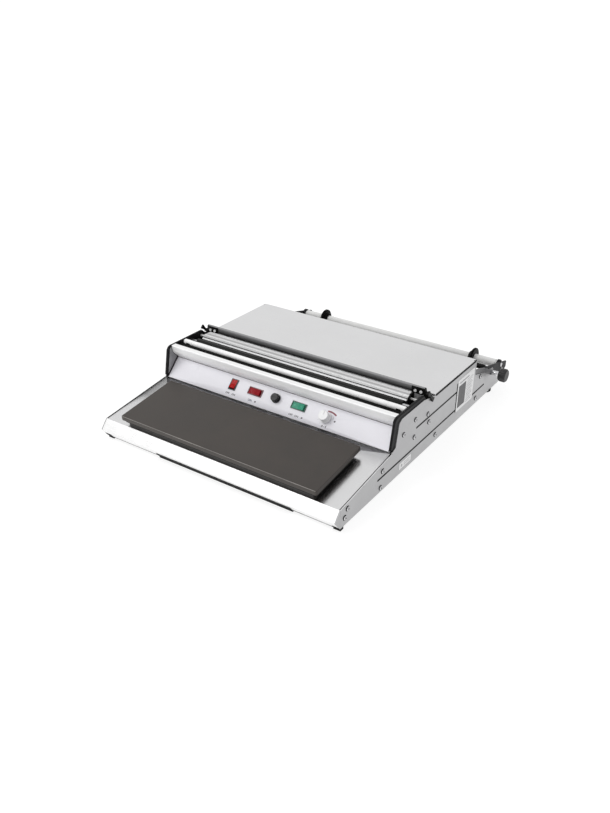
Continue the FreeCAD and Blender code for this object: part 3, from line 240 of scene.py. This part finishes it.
def wound_tape():
    # White glass cloth tape wound round the rod: fine weave, a helical overlap, and a little
    # painted light glowing from it
    colour = (0.97, 0.97, 0.965)
    mat, tree, shader = new_material("rod tape", colour, 0.40)
    glow(shader, ROD_PAINTED_GLOW)
    middle = spot(0, ROD_BACK, ROD_HIGH)
    pitch, seam_share, thread, thread_angle = 0.0165, 0.05, 0.0014, 0.30
    seam_dark, thread_dark, thread_deep = 0.8, 0.06, 0.35
    split = tree.nodes.new("ShaderNodeSeparateXYZ")
    tree.links.new(coordinates(tree), split.inputs[0])
    up = math_node(tree, "SUBTRACT", split.outputs[2], middle.z)
    back = math_node(tree, "SUBTRACT", split.outputs[1], middle.y)
    angle = math_node(tree, "ARCTAN2", up, back)
    turn = math_node(tree, "ADD", math_node(tree, "MULTIPLY", split.outputs[0], 1 / pitch),
                     math_node(tree, "MULTIPLY", angle, 0.5 / math.pi))
    seam = math_node(tree, "LESS_THAN", math_node(tree, "FRACT", turn), seam_share)
    cross = math_node(tree, "MULTIPLY", ripple(tree, split.outputs[0], thread),
                      ripple(tree, angle, thread_angle))
    worn = ramp_value(tree, noise(tree, coordinates(tree), 60.0, 4, 0.6), 0, 0.25)
    dark = math_node(tree, "MAXIMUM", math_node(tree, "MULTIPLY", seam, seam_dark), worn)
    threads = math_node(tree, "MULTIPLY", math_node(tree, "ADD", cross, 1.0), thread_dark)
    tint = mix_colour(tree, math_node(tree, "ADD", dark, threads), colour, shade(colour, 0.78))
    tree.links.new(tint, shader.inputs["Base Color"])
    height = math_node(tree, "SUBTRACT", math_node(tree, "MULTIPLY", cross, thread_deep), seam)
    add_bump(tree, shader, height, 0.12, 0.0001)
    return mat


def press_bar_painted_shade():
    # Anodised bar with painted shade: near-black at its lower edge, ramping to grey towards its top
    mat, tree, shader = new_material("press bar painted shade", (0.2, 0.2, 0.2), 0.34)
    split = tree.nodes.new("ShaderNodeSeparateXYZ")
    tree.links.new(coordinates(tree), split.inputs[0])
    # The near-black end is painted shade along the lower edge; the grey end is the anodised top
    rubber, anodised = (0.012, 0.012, 0.012), (0.27, 0.27, 0.275)
    shade_full_high, shade_none_high = spot(0, 0, 102.2).z, spot(0, 0, 112.0).z
    lit_share = ramp_value(tree, split.outputs[2], 0, 1, shade_full_high, shade_none_high)
    lines = noise(tree, coordinates(tree, (6, 1100, 1100)), 1.0, 3, 0.6)
    worn = ramp_value(tree, lines, -0.06, 0.06)
    tint = mix_colour(tree, math_node(tree, "ADD", lit_share, worn), rubber, anodised)
    tree.links.new(tint, shader.inputs["Base Color"])
    add_bump(tree, shader, lines, 0.03, 0.0001)
    return mat


MATERIALS["rod_tape"] = wound_tape()
MATERIALS["press_dark"] = press_bar_painted_shade()


def cloth_coating():
    # Brown non-stick cloth stretched over the hot plate: fine plain weave, satin sheen
    colour = (0.040, 0.0320, 0.0265)
    mat, tree, shader = new_material("plate coating", colour, 0.40)
    thread = 0.0011
    split = tree.nodes.new("ShaderNodeSeparateXYZ")
    tree.links.new(coordinates(tree, turn=(-TRAY_ANGLE, 0, 0)), split.inputs[0])
    cross = math_node(tree, "MULTIPLY", ripple(tree, split.outputs[0], thread),
                      ripple(tree, split.outputs[1], thread))
    broad = noise(tree, coordinates(tree), 14.0, 5, 0.6, 0.4)
    fine = noise(tree, coordinates(tree), 350.0, 3, 0.6)
    tone = math_node(tree, "ADD", math_node(tree, "MULTIPLY", broad, 0.7),
                     math_node(tree, "MULTIPLY", fine, 0.3))
    tint = mix_colour(tree, ramp_value(tree, tone, 0, 1, 0.38, 0.64),
                      shade(colour, 0.86), shade(colour, 1.16))
    tree.links.new(tint, shader.inputs["Base Color"])
    tree.links.new(ramp_value(tree, tone, 0.34, 0.48), shader.inputs["Roughness"])
    add_bump(tree, shader, cross, 0.10, 0.00008)
    return mat


MATERIALS["plate_coating"] = cloth_coating()


# CAD nodes dressed

# Bevel width of each node in millimetres; 0.0 leaves its edges sharp
EDGES = {
    "hot_plate": 0.0, "side_plate_left": 0.0, "side_plate_right": 0.0,
    "cover": 0.35, "tray": 0.35, "front_lip": 0.5, "end_cap_left": 0.5, "end_cap_right": 0.5,
    "mains_rocker": 0.35, "rod_rocker": 0.35, "plate_rocker": 0.35,
    "mains_switch_body": 0.3, "rod_switch_body": 0.3, "plate_switch_body": 0.3,
    "press_bar": 0.3, "ribbed_bar": 0.18, "insulating_strip": 0.0, "nose_profile": 0.0,
    "temperature_knob": 0.25, "clamp_knob_left": 0.5, "clamp_knob_right": 0.5,
    "wing_screw_left": 0.3, "wing_screw_right": 0.3,
}
USUAL_EDGE = 0.15


def soften(node, width):
    # A narrow rounded edge, cut into the solid
    weld = node.modifiers.new("weld", "WELD")
    weld.merge_threshold = 0.00001
    if width > 0:
        bevel = node.modifiers.new("edge", "BEVEL")
        bevel.width = width * MM
        bevel.segments = 2
        bevel.limit_method = "ANGLE"
        bevel.angle_limit = math.radians(35)
        bevel.use_clamp_overlap = True


for row in frame["record"]["subparts"]:
    node = NODES[row["node"]]
    node.data.materials.clear()
    slot = row["material_slot"]
    node.data.materials.append(MATERIALS[slot])
    soften(node, EDGES.get(row["node"], USUAL_EDGE))


# Added detail, in the maker's local millimetres

def beside(side, base=HALF):
    # Side view: u to the back, v up, height outwards from that plane
    return lambda u, v, height: spot(side * (base + height), u, v)


def on_panel(u, v, height):
    # Control panel: u across, v up its slope, height out of it
    lean, rise = math.cos(PANEL_ANGLE), math.sin(PANEL_ANGLE)
    return spot(u, PANEL_FOOT[0] + v * lean - height * rise,
                PANEL_FOOT[1] + v * rise + height * lean)


def moved(place, across, along, turn=0.0):
    # The same plane with its origin shifted and turned
    lean, rise = math.cos(turn), math.sin(turn)
    return lambda u, v, height: place(across + u * lean - v * rise,
                                      along + u * rise + v * lean, height)


def circle(radius, steps, start=0.0, end=360.0, middle=(0.0, 0.0)):
    closed = end - start >= 360
    count = steps if closed else steps + 1
    angles = [math.radians(start + (end - start) * i / steps) for i in range(count)]
    return [(middle[0] + radius * math.cos(a), middle[1] + radius * math.sin(a)) for a in angles]


def arc_band(inner, outer, start, end, steps):
    # A part of a flat ring, from one angle in degrees to another
    return circle(outer, steps, start, end) + circle(inner, steps, start, end)[::-1]


def box_outline(left, right, low, high, corner=0.0):
    if corner <= 0:
        return [(left, low), (right, low), (right, high), (left, high)]
    points = []
    for across, along, start in (
            (right - corner, low + corner, 270), (right - corner, high - corner, 0),
            (left + corner, high - corner, 90), (left + corner, low + corner, 180)):
        points += circle(corner, 4, start, start + 90, (across, along))
    return points


class Shape:
    """Flat outlines with thickness and turned rings, gathered into one piece."""

    def __init__(self):
        self.mesh = bmesh.new()

    def prism(self, outline, place, low, high):
        # outline: (u, v) points, given thickness between two heights over the place
        below = [self.mesh.verts.new(place(u, v, low)) for u, v in outline]
        above = [self.mesh.verts.new(place(u, v, high)) for u, v in outline]
        self.mesh.faces.new(below[::-1])
        self.mesh.faces.new(above)
        count = len(outline)
        for i in range(count):
            j = (i + 1) % count
            self.mesh.faces.new((below[i], below[j], above[j], above[i]))

    def turned(self, section, place, steps=28):
        # section: closed outline of (radius, height) turned round the place's own axis
        rows = []
        for i in range(steps):
            angle = 2 * math.pi * i / steps
            rows.append([self.mesh.verts.new(place(r * math.cos(angle), r * math.sin(angle), h))
                         for r, h in section])
        for i in range(steps):
            near, far = rows[i], rows[(i + 1) % steps]
            for k in range(len(section)):
                m = (k + 1) % len(section)
                self.mesh.faces.new((near[k], near[m], far[m], far[k]))

    def words(self, text, tall, place, lift, thick=0.04):
        # Plain raised letters in the built-in font, a little bolder than it draws them
        bolder = 0.022
        data = bpy.data.curves.new("letters", "FONT")
        data.body, data.size, data.extrude = text, tall, thick / 2
        data.align_x, data.align_y, data.resolution_u = "CENTER", "CENTER", 3
        data.offset = tall * bolder
        thing = bpy.data.objects.new("letters", data)
        bpy.context.collection.objects.link(thing)
        bpy.context.view_layer.update()
        letters = bpy.data.meshes.new_from_object(
            thing.evaluated_get(bpy.context.evaluated_depsgraph_get()))
        spots = [self.mesh.verts.new(place(v.co.x, v.co.y, lift + thick / 2 + v.co.z))
                 for v in letters.vertices]
        for face in letters.polygons:
            self.mesh.faces.new([spots[i] for i in face.vertices])
        bpy.data.objects.remove(thing)
        bpy.data.meshes.remove(letters)

    def done(self, name, slot, body="housing", finish=None, bevel=0.0):
        # The gathered mesh becomes one piece that rides on its body
        bmesh.ops.remove_doubles(self.mesh, verts=self.mesh.verts, dist=1e-7)
        bmesh.ops.recalc_face_normals(self.mesh, faces=self.mesh.faces)
        data = bpy.data.meshes.new(name)
        self.mesh.to_mesh(data)
        self.mesh.free()
        thing = bpy.data.objects.new(name, data)
        bpy.context.collection.objects.link(thing)
        data.materials.append(finish or MATERIALS[slot])
        if bevel > 0:
            edge = thing.modifiers.new("edge", "BEVEL")
            edge.width, edge.segments, edge.limit_method = bevel * MM, 2, "ANGLE"
            edge.angle_limit = math.radians(40)
        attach(thing, body)
        return thing


INK_RED = plastic("red print", (0.20, 0.002, 0.020), 0.35, 900, 0.02, 0.05)
INK_DARK = plastic("dark print", (0.05, 0.04, 0.05), 0.4, 900, 0.02, 0.08)
INK_BLUE = plastic("blue print", (0.04, 0.06, 0.12), 0.4, 900, 0.02, 0.08)
INK_GREY = plastic("grey print", (0.36, 0.36, 0.37), 0.4, 900, 0.02, 0.06)
LABEL_WHITE = plastic("label film", (0.78, 0.78, 0.78), 0.34, 500, 0.02, 0.02)
LABEL_GREY = plastic("label block", (0.085, 0.085, 0.088), 0.45, 500, 0.03, 0.25)
ROD_LABEL = plastic("rod label film", (0.90, 0.90, 0.90), 0.3, 500, 0.02, 0.02)
# The rod labels glow with the same painted light as the tape
glow(ROD_LABEL.node_tree.nodes["Principled BSDF"], ROD_PAINTED_GLOW)
# Near-white screw steel: painted highlight
SCREW_PAINTED_HIGHLIGHT = brushed("press bar screw", (0.95, 0.95, 0.95), 0.3, "x", 0.02, 0.03, 0.04, 0.1)
# Black for dark joints, and for painted shade in grooves, round screws, under the cover's edge and
# under the hot plate
SHADOW_BLACK = plastic("seam and shade black", (0.008, 0.008, 0.008), 0.6, 900, 0.05, 0.10, **DULL)
# Grey steels for bands of painted shade on the ribbed bar
BAND_PAINTED_SHADE = brushed("groove band painted shade", (0.52, 0.52, 0.524), 0.36, "x", 0.03, 0.05)
FRONT_PAINTED_SHADE = brushed("front slope painted shade", (0.25, 0.25, 0.252), 0.36, "x", 0.03, 0.05)
BRACKET_GREY = brushed("bracket grey steel", (0.24, 0.24, 0.245), 0.42, "y", 0.04, 0.08)
HEM_GREY = plastic("lip hem shadow", (0.10, 0.10, 0.10), 0.5, 900, 0.02, 0.10)
# Light brown-grey for a painted highlight along the hot plate's front edge
PLATE_EDGE_HIGHLIGHT = plastic("plate edge painted highlight", (0.34, 0.32, 0.30), 0.35, 600, 0.05, 0.25)
EDGE_GREY = brushed("cheek steel", (0.36, 0.36, 0.365), 0.40, "z", 0.05, 0.05)


def side_details():
    # Painted shade: black strips over the groove floors, black rims round the screw heads and black
    # crosses for their recesses; and a black strip for the shadow in the seam under the cover's
    # edge
    grooves, rims, crosses, cover_shadow = Shape(), Shape(), Shape(), Shape()
    groove_half, groove_corner, cross_half = 1.7, 1.6, 1.9
    rim = [(3.62, 0.02), (3.62, 0.9), (3.8, 0.9), (4.1, 0.3), (4.6, 0.02)]
    for side in (-1, 1):
        place = beside(side)
        # Black strips just proud of the groove floors: painted shade
        for middle, front, back in ((25, 103, 494), (60, 222, 373)):
            grooves.prism(box_outline(front, back, middle - groove_half, middle + groove_half,
                                      groove_corner), place, 0.01, 0.06)
        # Black strip along the cover's edge: painted shadow
        cover_shadow.prism(box_outline(287, 444.4, 89.2, 92.35), place, -0.65, 0.45)
        for number, (back, up) in enumerate(SCREW_SPOTS):
            at = moved(place, back, up)
            # Black rim round each screw head: painted shade
            rims.turned(rim, at)
            # Black crosses on the heads: painted shade standing for the cross recesses
            turn = math.radians(25 + 37 * number)
            for quarter in (0, math.pi / 2):
                bar = moved(at, 0, 0, turn + quarter)
                crosses.prism(box_outline(-cross_half, cross_half, -0.5, 0.5), bar, 2.12, 2.24)
    grooves.done("side_groove_painted_shade", "strip_black", finish=SHADOW_BLACK)
    cover_shadow.done("cover_edge_painted_shadow", "strip_black", finish=SHADOW_BLACK)
    rims.done("side_screw_rim_shade", "guard_black", finish=SHADOW_BLACK)
    crosses.done("side_screw_recess_shade", "guard_black", finish=SHADOW_BLACK)


def side_labels():
    # Blank rating label with a black line along its left edge, and a small earth label on the right
    # side plate
    place = beside(1)
    seam, labels, blocks, rules = Shape(), Shape(), Shape(), Shape()
    gap, film, print_low, print_high, line_pitch = 0.02, 0.20, 0.21, 0.25, 3.6
    seam.prism(box_outline(370.2, 372.6, 20.5, 76), place, gap, 0.30)
    labels.prism(box_outline(373.4, 441, 19.2, 80, 1.6), place, gap, film)
    labels.prism(box_outline(172, 210, 7.8, 19, 1.2), place, gap, film)
    blocks.prism(box_outline(377.6, 407, 25.5, 67.5, 0.6), place, print_low, 0.27)
    rules.prism(box_outline(381, 419, 71.3, 74.3), place, print_low, print_high)
    for index in range(13):
        up = 24 + index * line_pitch
        cut = 3.0 * math.sin(2.3 * index)
        rules.prism(box_outline(411, 433 + cut, up, up + 1.1), place, print_low, print_high)
    rules.prism(circle(2.6, 20, middle=(179.5, 13.4)), place, print_low, print_high)
    for index in range(2):
        rules.prism(box_outline(187, 206, 10.6 + line_pitch * index, 11.8 + line_pitch * index),
                    place, print_low, print_high)
    seam.done("side_label_edge_line", "strip_black", finish=SHADOW_BLACK)
    labels.done("side_labels_blank", "pin_white", finish=LABEL_WHITE)
    blocks.done("side_label_block", "guard_black", finish=LABEL_GREY)
    rules.done("side_label_rules", "guard_black", finish=INK_GREY)


def cheek_plates():
    # Steel linings of the end caps in front of the nose profile
    outline = [(147.8, 56.6), (155.9, 101.0), (158.2, 103.5), (159.3, 103.5), (162.1, 94.2),
               (165.8, 88.6), (172.4, 82.3), (172.7, 81.2)]
    for side in (-1, 1):
        shape = Shape()
        shape.prism(outline, beside(side, CAP_IN), -0.55, -0.02)
        shape.done("cheek_plate_" + ("left" if side < 0 else "right"), "housing_steel",
                   finish=EDGE_GREY, bevel=0.12)


def panel_marks():
    # Seams round the panel, plain ON and OFF words, dots, and the knob's arc and scale
    red, dark, blue, grey = Shape(), Shape(), Shape(), Shape()
    low, thin, thick = 0.02, 0.07, 0.08
    dot = box_outline(-1.3, 1.3, -1.3, 1.3)
    for side in (-1, 1):
        edge = sorted((side * (CAP_IN - 0.05), side * (CAP_IN - 1.9)))
        dark.prism(box_outline(*edge, 0.5, 41.5), on_panel, low, 0.35)
    dark.prism(box_outline(-CAP_IN + 2, CAP_IN - 2, 39.7, 40.4), on_panel, low, 0.30)
    knob, ring = moved(on_panel, 101, 19.4), 13.4
    red.prism(arc_band(23.4, 26.0, 59, 100, 26), moved(on_panel, 104.3, 6.3), low, thick)
    grey.prism(arc_band(12.9, 13.5, 0, 24, 8), knob, low, thin)
    for angle in (-60, -30, 210, 240, 180, 150, 120):
        turn = math.radians(angle)
        tick = moved(knob, ring * math.cos(turn), ring * math.sin(turn), turn)
        grey.prism(box_outline(-0.9, 0.9, -0.16, 0.16), tick, low, thin)
    dark.prism(circle(1.5, 16), moved(on_panel, 118.5, 17.8), low, thick)
    dark.words("OFF    ON", 4.6, moved(on_panel, -86.0, 6.4), low)
    blue.words("ON", 5.0, moved(on_panel, -44.5, 6.6), low)
    dark.prism(dot, moved(on_panel, -33.7, 6.8), low, thick)
    dark.words("OFF   ON", 4.6, moved(on_panel, 44.5, 6.0), low)
    dark.prism(dot, moved(on_panel, 60.9, 6.3), low, thick)
    dark.words("0 - 5", 5.0, moved(on_panel, 104.0, 4.6), low)
    red.done("panel_arc", "rocker_dark_red", finish=INK_RED)
    dark.done("panel_marks", "guard_black", finish=INK_DARK)
    blue.done("panel_mark_blue", "guard_black", finish=INK_BLUE)
    grey.done("panel_scale", "guard_black", finish=INK_GREY)


def rocker_marks():
    # A bar and a ring on each rocker, tilted with it
    rise, dip, frame_wall, pivot, tilt = 5.4, 0.9, 2.2, 3.0, math.radians(9)
    low, high = 0.01, 0.10
    ring = [(1.0, low), (1.0, high), (1.5, high), (1.5, low)]
    rockers = (("mains_rocker", "rocker_bright_red", BRIGHT_RED, -87.7, 23.2, 10.0, math.pi / 2, 1),
               ("rod_rocker", "rocker_dark_red", DARK_RED, -41.0, 23.0, 14.0, 0.0, -1),
               ("plate_rocker", "rocker_green", GREEN, 47.3, 23.0, 14.0, 0.0, -1))
    for name, slot, colour, across, along, opening, turn, way in rockers:
        half = opening - frame_wall
        turned = Matrix.Rotation(turn, 3, "Z") @ Matrix.Rotation(tilt * way, 3, "Y")

        def place(u, v, height, turned=turned, across=across, along=along, half=half):
            top = rise - dip + dip * abs(u) / half
            local = turned @ Vector((u, v, top + height))
            return on_panel(across + local.x, along + local.y, local.z - pivot)

        bright = plastic(name + " mark", shade(colour, 1.5), 0.3, 900, 0.02, 0.02)
        marks = Shape()
        marks.prism(box_outline(half * 0.45, half * 0.75, -0.28, 0.28), place, low, high)
        marks.turned(ring, moved(place, -half * 0.6, 0), 20)
        marks.done(name + "_marks", slot, body=name, finish=bright)


def rod_labels():
    # Blank labels wrapped round the front of the taped rod
    shape = Shape()
    radius, low_angle, sweep, steps = 4.60, -35, 150, 14

    def wrap(u, v, height):
        angle = math.radians(v)
        reach = radius + height
        return spot(u, ROD_BACK - reach * math.cos(angle), ROD_HIGH + reach * math.sin(angle))

    for left, right in ((-191, -132), (143, 186)):
        outline = [(left, low_angle + sweep * i / steps) for i in range(steps + 1)]
        outline += [(right, low_angle + sweep - sweep * i / steps) for i in range(steps + 1)]
        shape.prism(outline, wrap, 0.0, 0.10)
    shape.done("rod_labels_blank", "pin_white", finish=ROD_LABEL)


def bar_details():
    # The ribbed bar's nosing, grey bands of painted shade on its top and front slope, two filled
    # grooves, and grey slots of painted shade on the press bar's screws
    nosing, bands, fronts, fillers, recess = Shape(), Shape(), Shape(), Shape(), Shape()
    left, right = -CAP_IN + 14.2, CAP_IN - 17.2
    first_groove, pitch, wide, slack = 233.2, 3.4, 1.5, 0.02
    strap_front, screw_high = 256.3, 104.6

    def along(u, v, height):
        # Side view: u to the back, v up, height across the machine
        return spot(height, u, v)

    nosing.prism([(229.97, 101.0), (228.3, 100.7), (227.0, 100.0), (226.6, 99.3), (227.2, 99.0),
                  (229.97, 99.0)], along, left, right)
    # Darker band on the front slope: painted shade
    fronts.prism([(229.98, 101.1), (229.98, 102.62), (232.1, 104.74), (232.03, 104.81),
                  (229.88, 102.66), (229.88, 101.1)], along, left, right)
    # Grey band over the middle grooves: painted shade
    bands.prism(box_outline(236.4, 241.7, 105.01, 105.08), along, left, right)
    for index in (0, 3):
        start = first_groove + pitch * index
        fillers.prism(box_outline(start + slack, start + wide - slack, 103.93, 104.98),
                      along, left, right)
    for side in (-1, 1):
        for inset in (18, 8):
            def face(u, v, height, across=side * (CAP_IN - inset)):
                return spot(across + u, strap_front - height, screw_high + v)

            # Grey slot on each screw: painted shade for its recess
            recess.prism(box_outline(-1.2, 1.2, -0.2, 0.2), moved(face, 0, 0, 0.9), 0.0, 0.05)
    nosing.done("ribbed_bar_nosing", "ribbed_aluminium")
    bands.done("ribbed_bar_shade_bands", "ribbed_aluminium", finish=BAND_PAINTED_SHADE)
    fronts.done("ribbed_bar_front_shade", "ribbed_aluminium", finish=FRONT_PAINTED_SHADE)
    fillers.done("ribbed_bar_groove_fillers", "ribbed_aluminium")
    recess.done("press_screw_recess_shade", "guard_black", body="press_bar", finish=INK_GREY)


def on_tray(u, v, height):
    # Sloped tray: u across, v up its slope, height out of it
    lean, rise = math.cos(TRAY_ANGLE), math.sin(TRAY_ANGLE)
    return spot(u, v * lean - height * rise, TRAY_TOP + v * rise + height * lean)


def hot_plate_slab():
    # Cast plate with softened edges under its stretched cloth; its foot, near-black as painted
    # shade under the slab; and a painted highlight along its front edge
    slab, foot, edge_glint = Shape(), Shape(), Shape()
    half, front, back, corner = 191, -0.6, 121.6, 3.0
    pan_top, low, high, glint_half = 7.02, 9.8, 17.5, 0.06
    slab.prism(box_outline(-half, half, front, back, corner), on_tray, low, high)
    foot.prism(box_outline(-half + 6, half - 6, front + 2.1, back - 2.6, corner),
               on_tray, pan_top, low - 0.02)
    # Light strip along the front edge: painted highlight
    edge_glint.prism(box_outline(-half + 2, half - 2, front + 0.18, front + 0.98),
                 on_tray, high - glint_half, high + glint_half)
    slab = slab.done("hot_plate_slab", "plate_coating", bevel=0.8)
    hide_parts("hot_plate")
    # The foot takes black as painted shade under the slab
    foot.done("hot_plate_foot", "pan_dark", finish=SHADOW_BLACK)
    edge_glint.done("hot_plate_edge_highlight", "plate_coating", finish=PLATE_EDGE_HIGHLIGHT)


def rear_foot_collars():
    # Wider soles round the two rear feet
    soles = Shape()
    section = [(8.9, -0.1), (8.9, -4.3), (11.2, -4.3), (11.9, -3.6), (11.9, -0.1)]
    for side in (-1, 1):
        soles.turned(section, moved(spot, side * 219.5, 527.5), 36)
    soles.done("rear_foot_collars", "foot_rubber")


def other_finishes():
    # Nodes that look unlike the rest of their material slot. The press bar screws take a near-white
    # steel, a painted highlight.
    NODES["press_bar_screws"].data.materials[0] = SCREW_PAINTED_HIGHLIGHT
    NODES["lip_ends"].data.materials[0] = MATERIALS["housing_steel"]
    for side in ("left", "right"):
        # The cradle brackets take a mid-grey steel, lighter than the black arms
        NODES["cradle_bracket_" + side].data.materials[0] = BRACKET_GREY


def tray_seams():
    # Dark joints between the tray and the side plates; the lip's black strips; and a grey line of
    # painted shadow along the lip's hem
    seams, strips, hem = Shape(), Shape(), Shape()
    for side in (-1, 1):
        edge = sorted((side * (PLATE_IN - 0.02), side * (PLATE_IN - 0.75)))
        seams.prism(box_outline(*edge, 0.4, 145), on_tray, 0.02, 0.5)
    reach, climb = 13.0, 16.5
    slope = math.hypot(reach, climb)
    lean, rise = reach / slope, climb / slope

    def under_lip(u, v, height):
        # Underside of the lip: u across, v forward and up along it, height out of it
        return spot(u, -v * lean - height * rise, v * rise - height * lean)

    for left, right, high in ((-115, 148, 8.5), (-HALF, -218, 8.5), (218, HALF, 3.5)):
        strips.prism(box_outline(left, right, 0.2, high), under_lip, 0.02, 0.6)
    # Grey line along the hem: painted shadow
    hem.prism(box_outline(-217.5, 217.5, -0.1, 0.15), under_lip, 0.02, 0.5)
    hem.done("lip_hem_shadow", "foot_rubber", finish=HEM_GREY)
    seams.done("tray_side_seams", "strip_black", finish=SHADOW_BLACK)
    strips.done("lip_foot_strips", "foot_rubber")


side_details()
side_labels()
cheek_plates()
panel_marks()
rocker_marks()
rod_labels()
bar_details()
hot_plate_slab()
rear_foot_collars()
tray_seams()
other_finishes()


# Stage

def lamp(name, place, target, power, wide):
    data = bpy.data.lights.new(name, "AREA")
    data.energy, data.shape, data.size, data.size_y = power, "RECTANGLE", wide, wide
    thing = bpy.data.objects.new(name, data)
    bpy.context.collection.objects.link(thing)
    thing.location = place
    thing.rotation_euler = (Vector(target) - Vector(place)).to_track_quat("-Z", "Y").to_euler()


def floor():
    # Pale paper that gives off most of its own light, so that its shadows stay soft
    size = 30.0
    mesh = bpy.data.meshes.new("studio_floor")
    mesh.from_pydata([(-size, -size, 0), (size, -size, 0), (size, size, 0), (-size, size, 0)], [],
                     [(0, 1, 2, 3)])
    thing = bpy.data.objects.new("studio_floor", mesh)
    bpy.context.collection.objects.link(thing)
    mat, _, shader = new_material("studio paper", (0.28, 0.28, 0.28), 0.9)
    glow(shader, 0.81)
    mesh.materials.append(mat)


def studio():
    world = bpy.data.worlds.new("studio")
    bpy.context.scene.world = world
    world.use_nodes = True
    tree = world.node_tree
    back = tree.nodes["Background"]
    back.inputs["Strength"].default_value = 0.86
    # A white room that grows darker to the right
    place = tree.nodes.new("ShaderNodeTexCoord")
    split = tree.nodes.new("ShaderNodeSeparateXYZ")
    tree.links.new(place.outputs["Generated"], split.inputs[0])
    white, shaded = (1.0, 1.0, 1.0), (0.66, 0.66, 0.67)
    side = ramp_value(tree, split.outputs[0], 0.0, 1.0, -0.4, 0.95)
    tint = mix_colour(tree, side, white, shaded)
    tree.links.new(tint, back.inputs["Color"])
    lamp("key", (-1.1, -1.3, 1.9), (0, 0, 0.05), 14, 1.2)
    floor()


def camera():
    # The photo's camera, fitted to the machine's outline
    turn, lift, roll = math.radians(34.02), math.radians(28.47), math.radians(0.504)
    place = (0.71399, -1.10484, 0.71092)
    back = Vector((math.sin(turn) * math.cos(lift), -math.cos(turn) * math.cos(lift),
                   math.sin(lift)))
    right = Vector((math.cos(turn), math.sin(turn), 0))
    up = right.cross(-back)
    level_right = math.cos(roll) * right + math.sin(roll) * up
    level_up = -math.sin(roll) * right + math.cos(roll) * up
    data = bpy.data.cameras.new("camera")
    data.lens, data.sensor_width = 36.57, 36.0
    thing = bpy.data.objects.new("camera", data)
    bpy.context.collection.objects.link(thing)
    turned = Matrix((level_right, level_up, back)).transposed().to_4x4()
    thing.matrix_world = Matrix.Translation(place) @ turned
    bpy.context.scene.camera = thing


studio()
camera()
bpy.context.scene.view_settings.view_transform = "Standard"
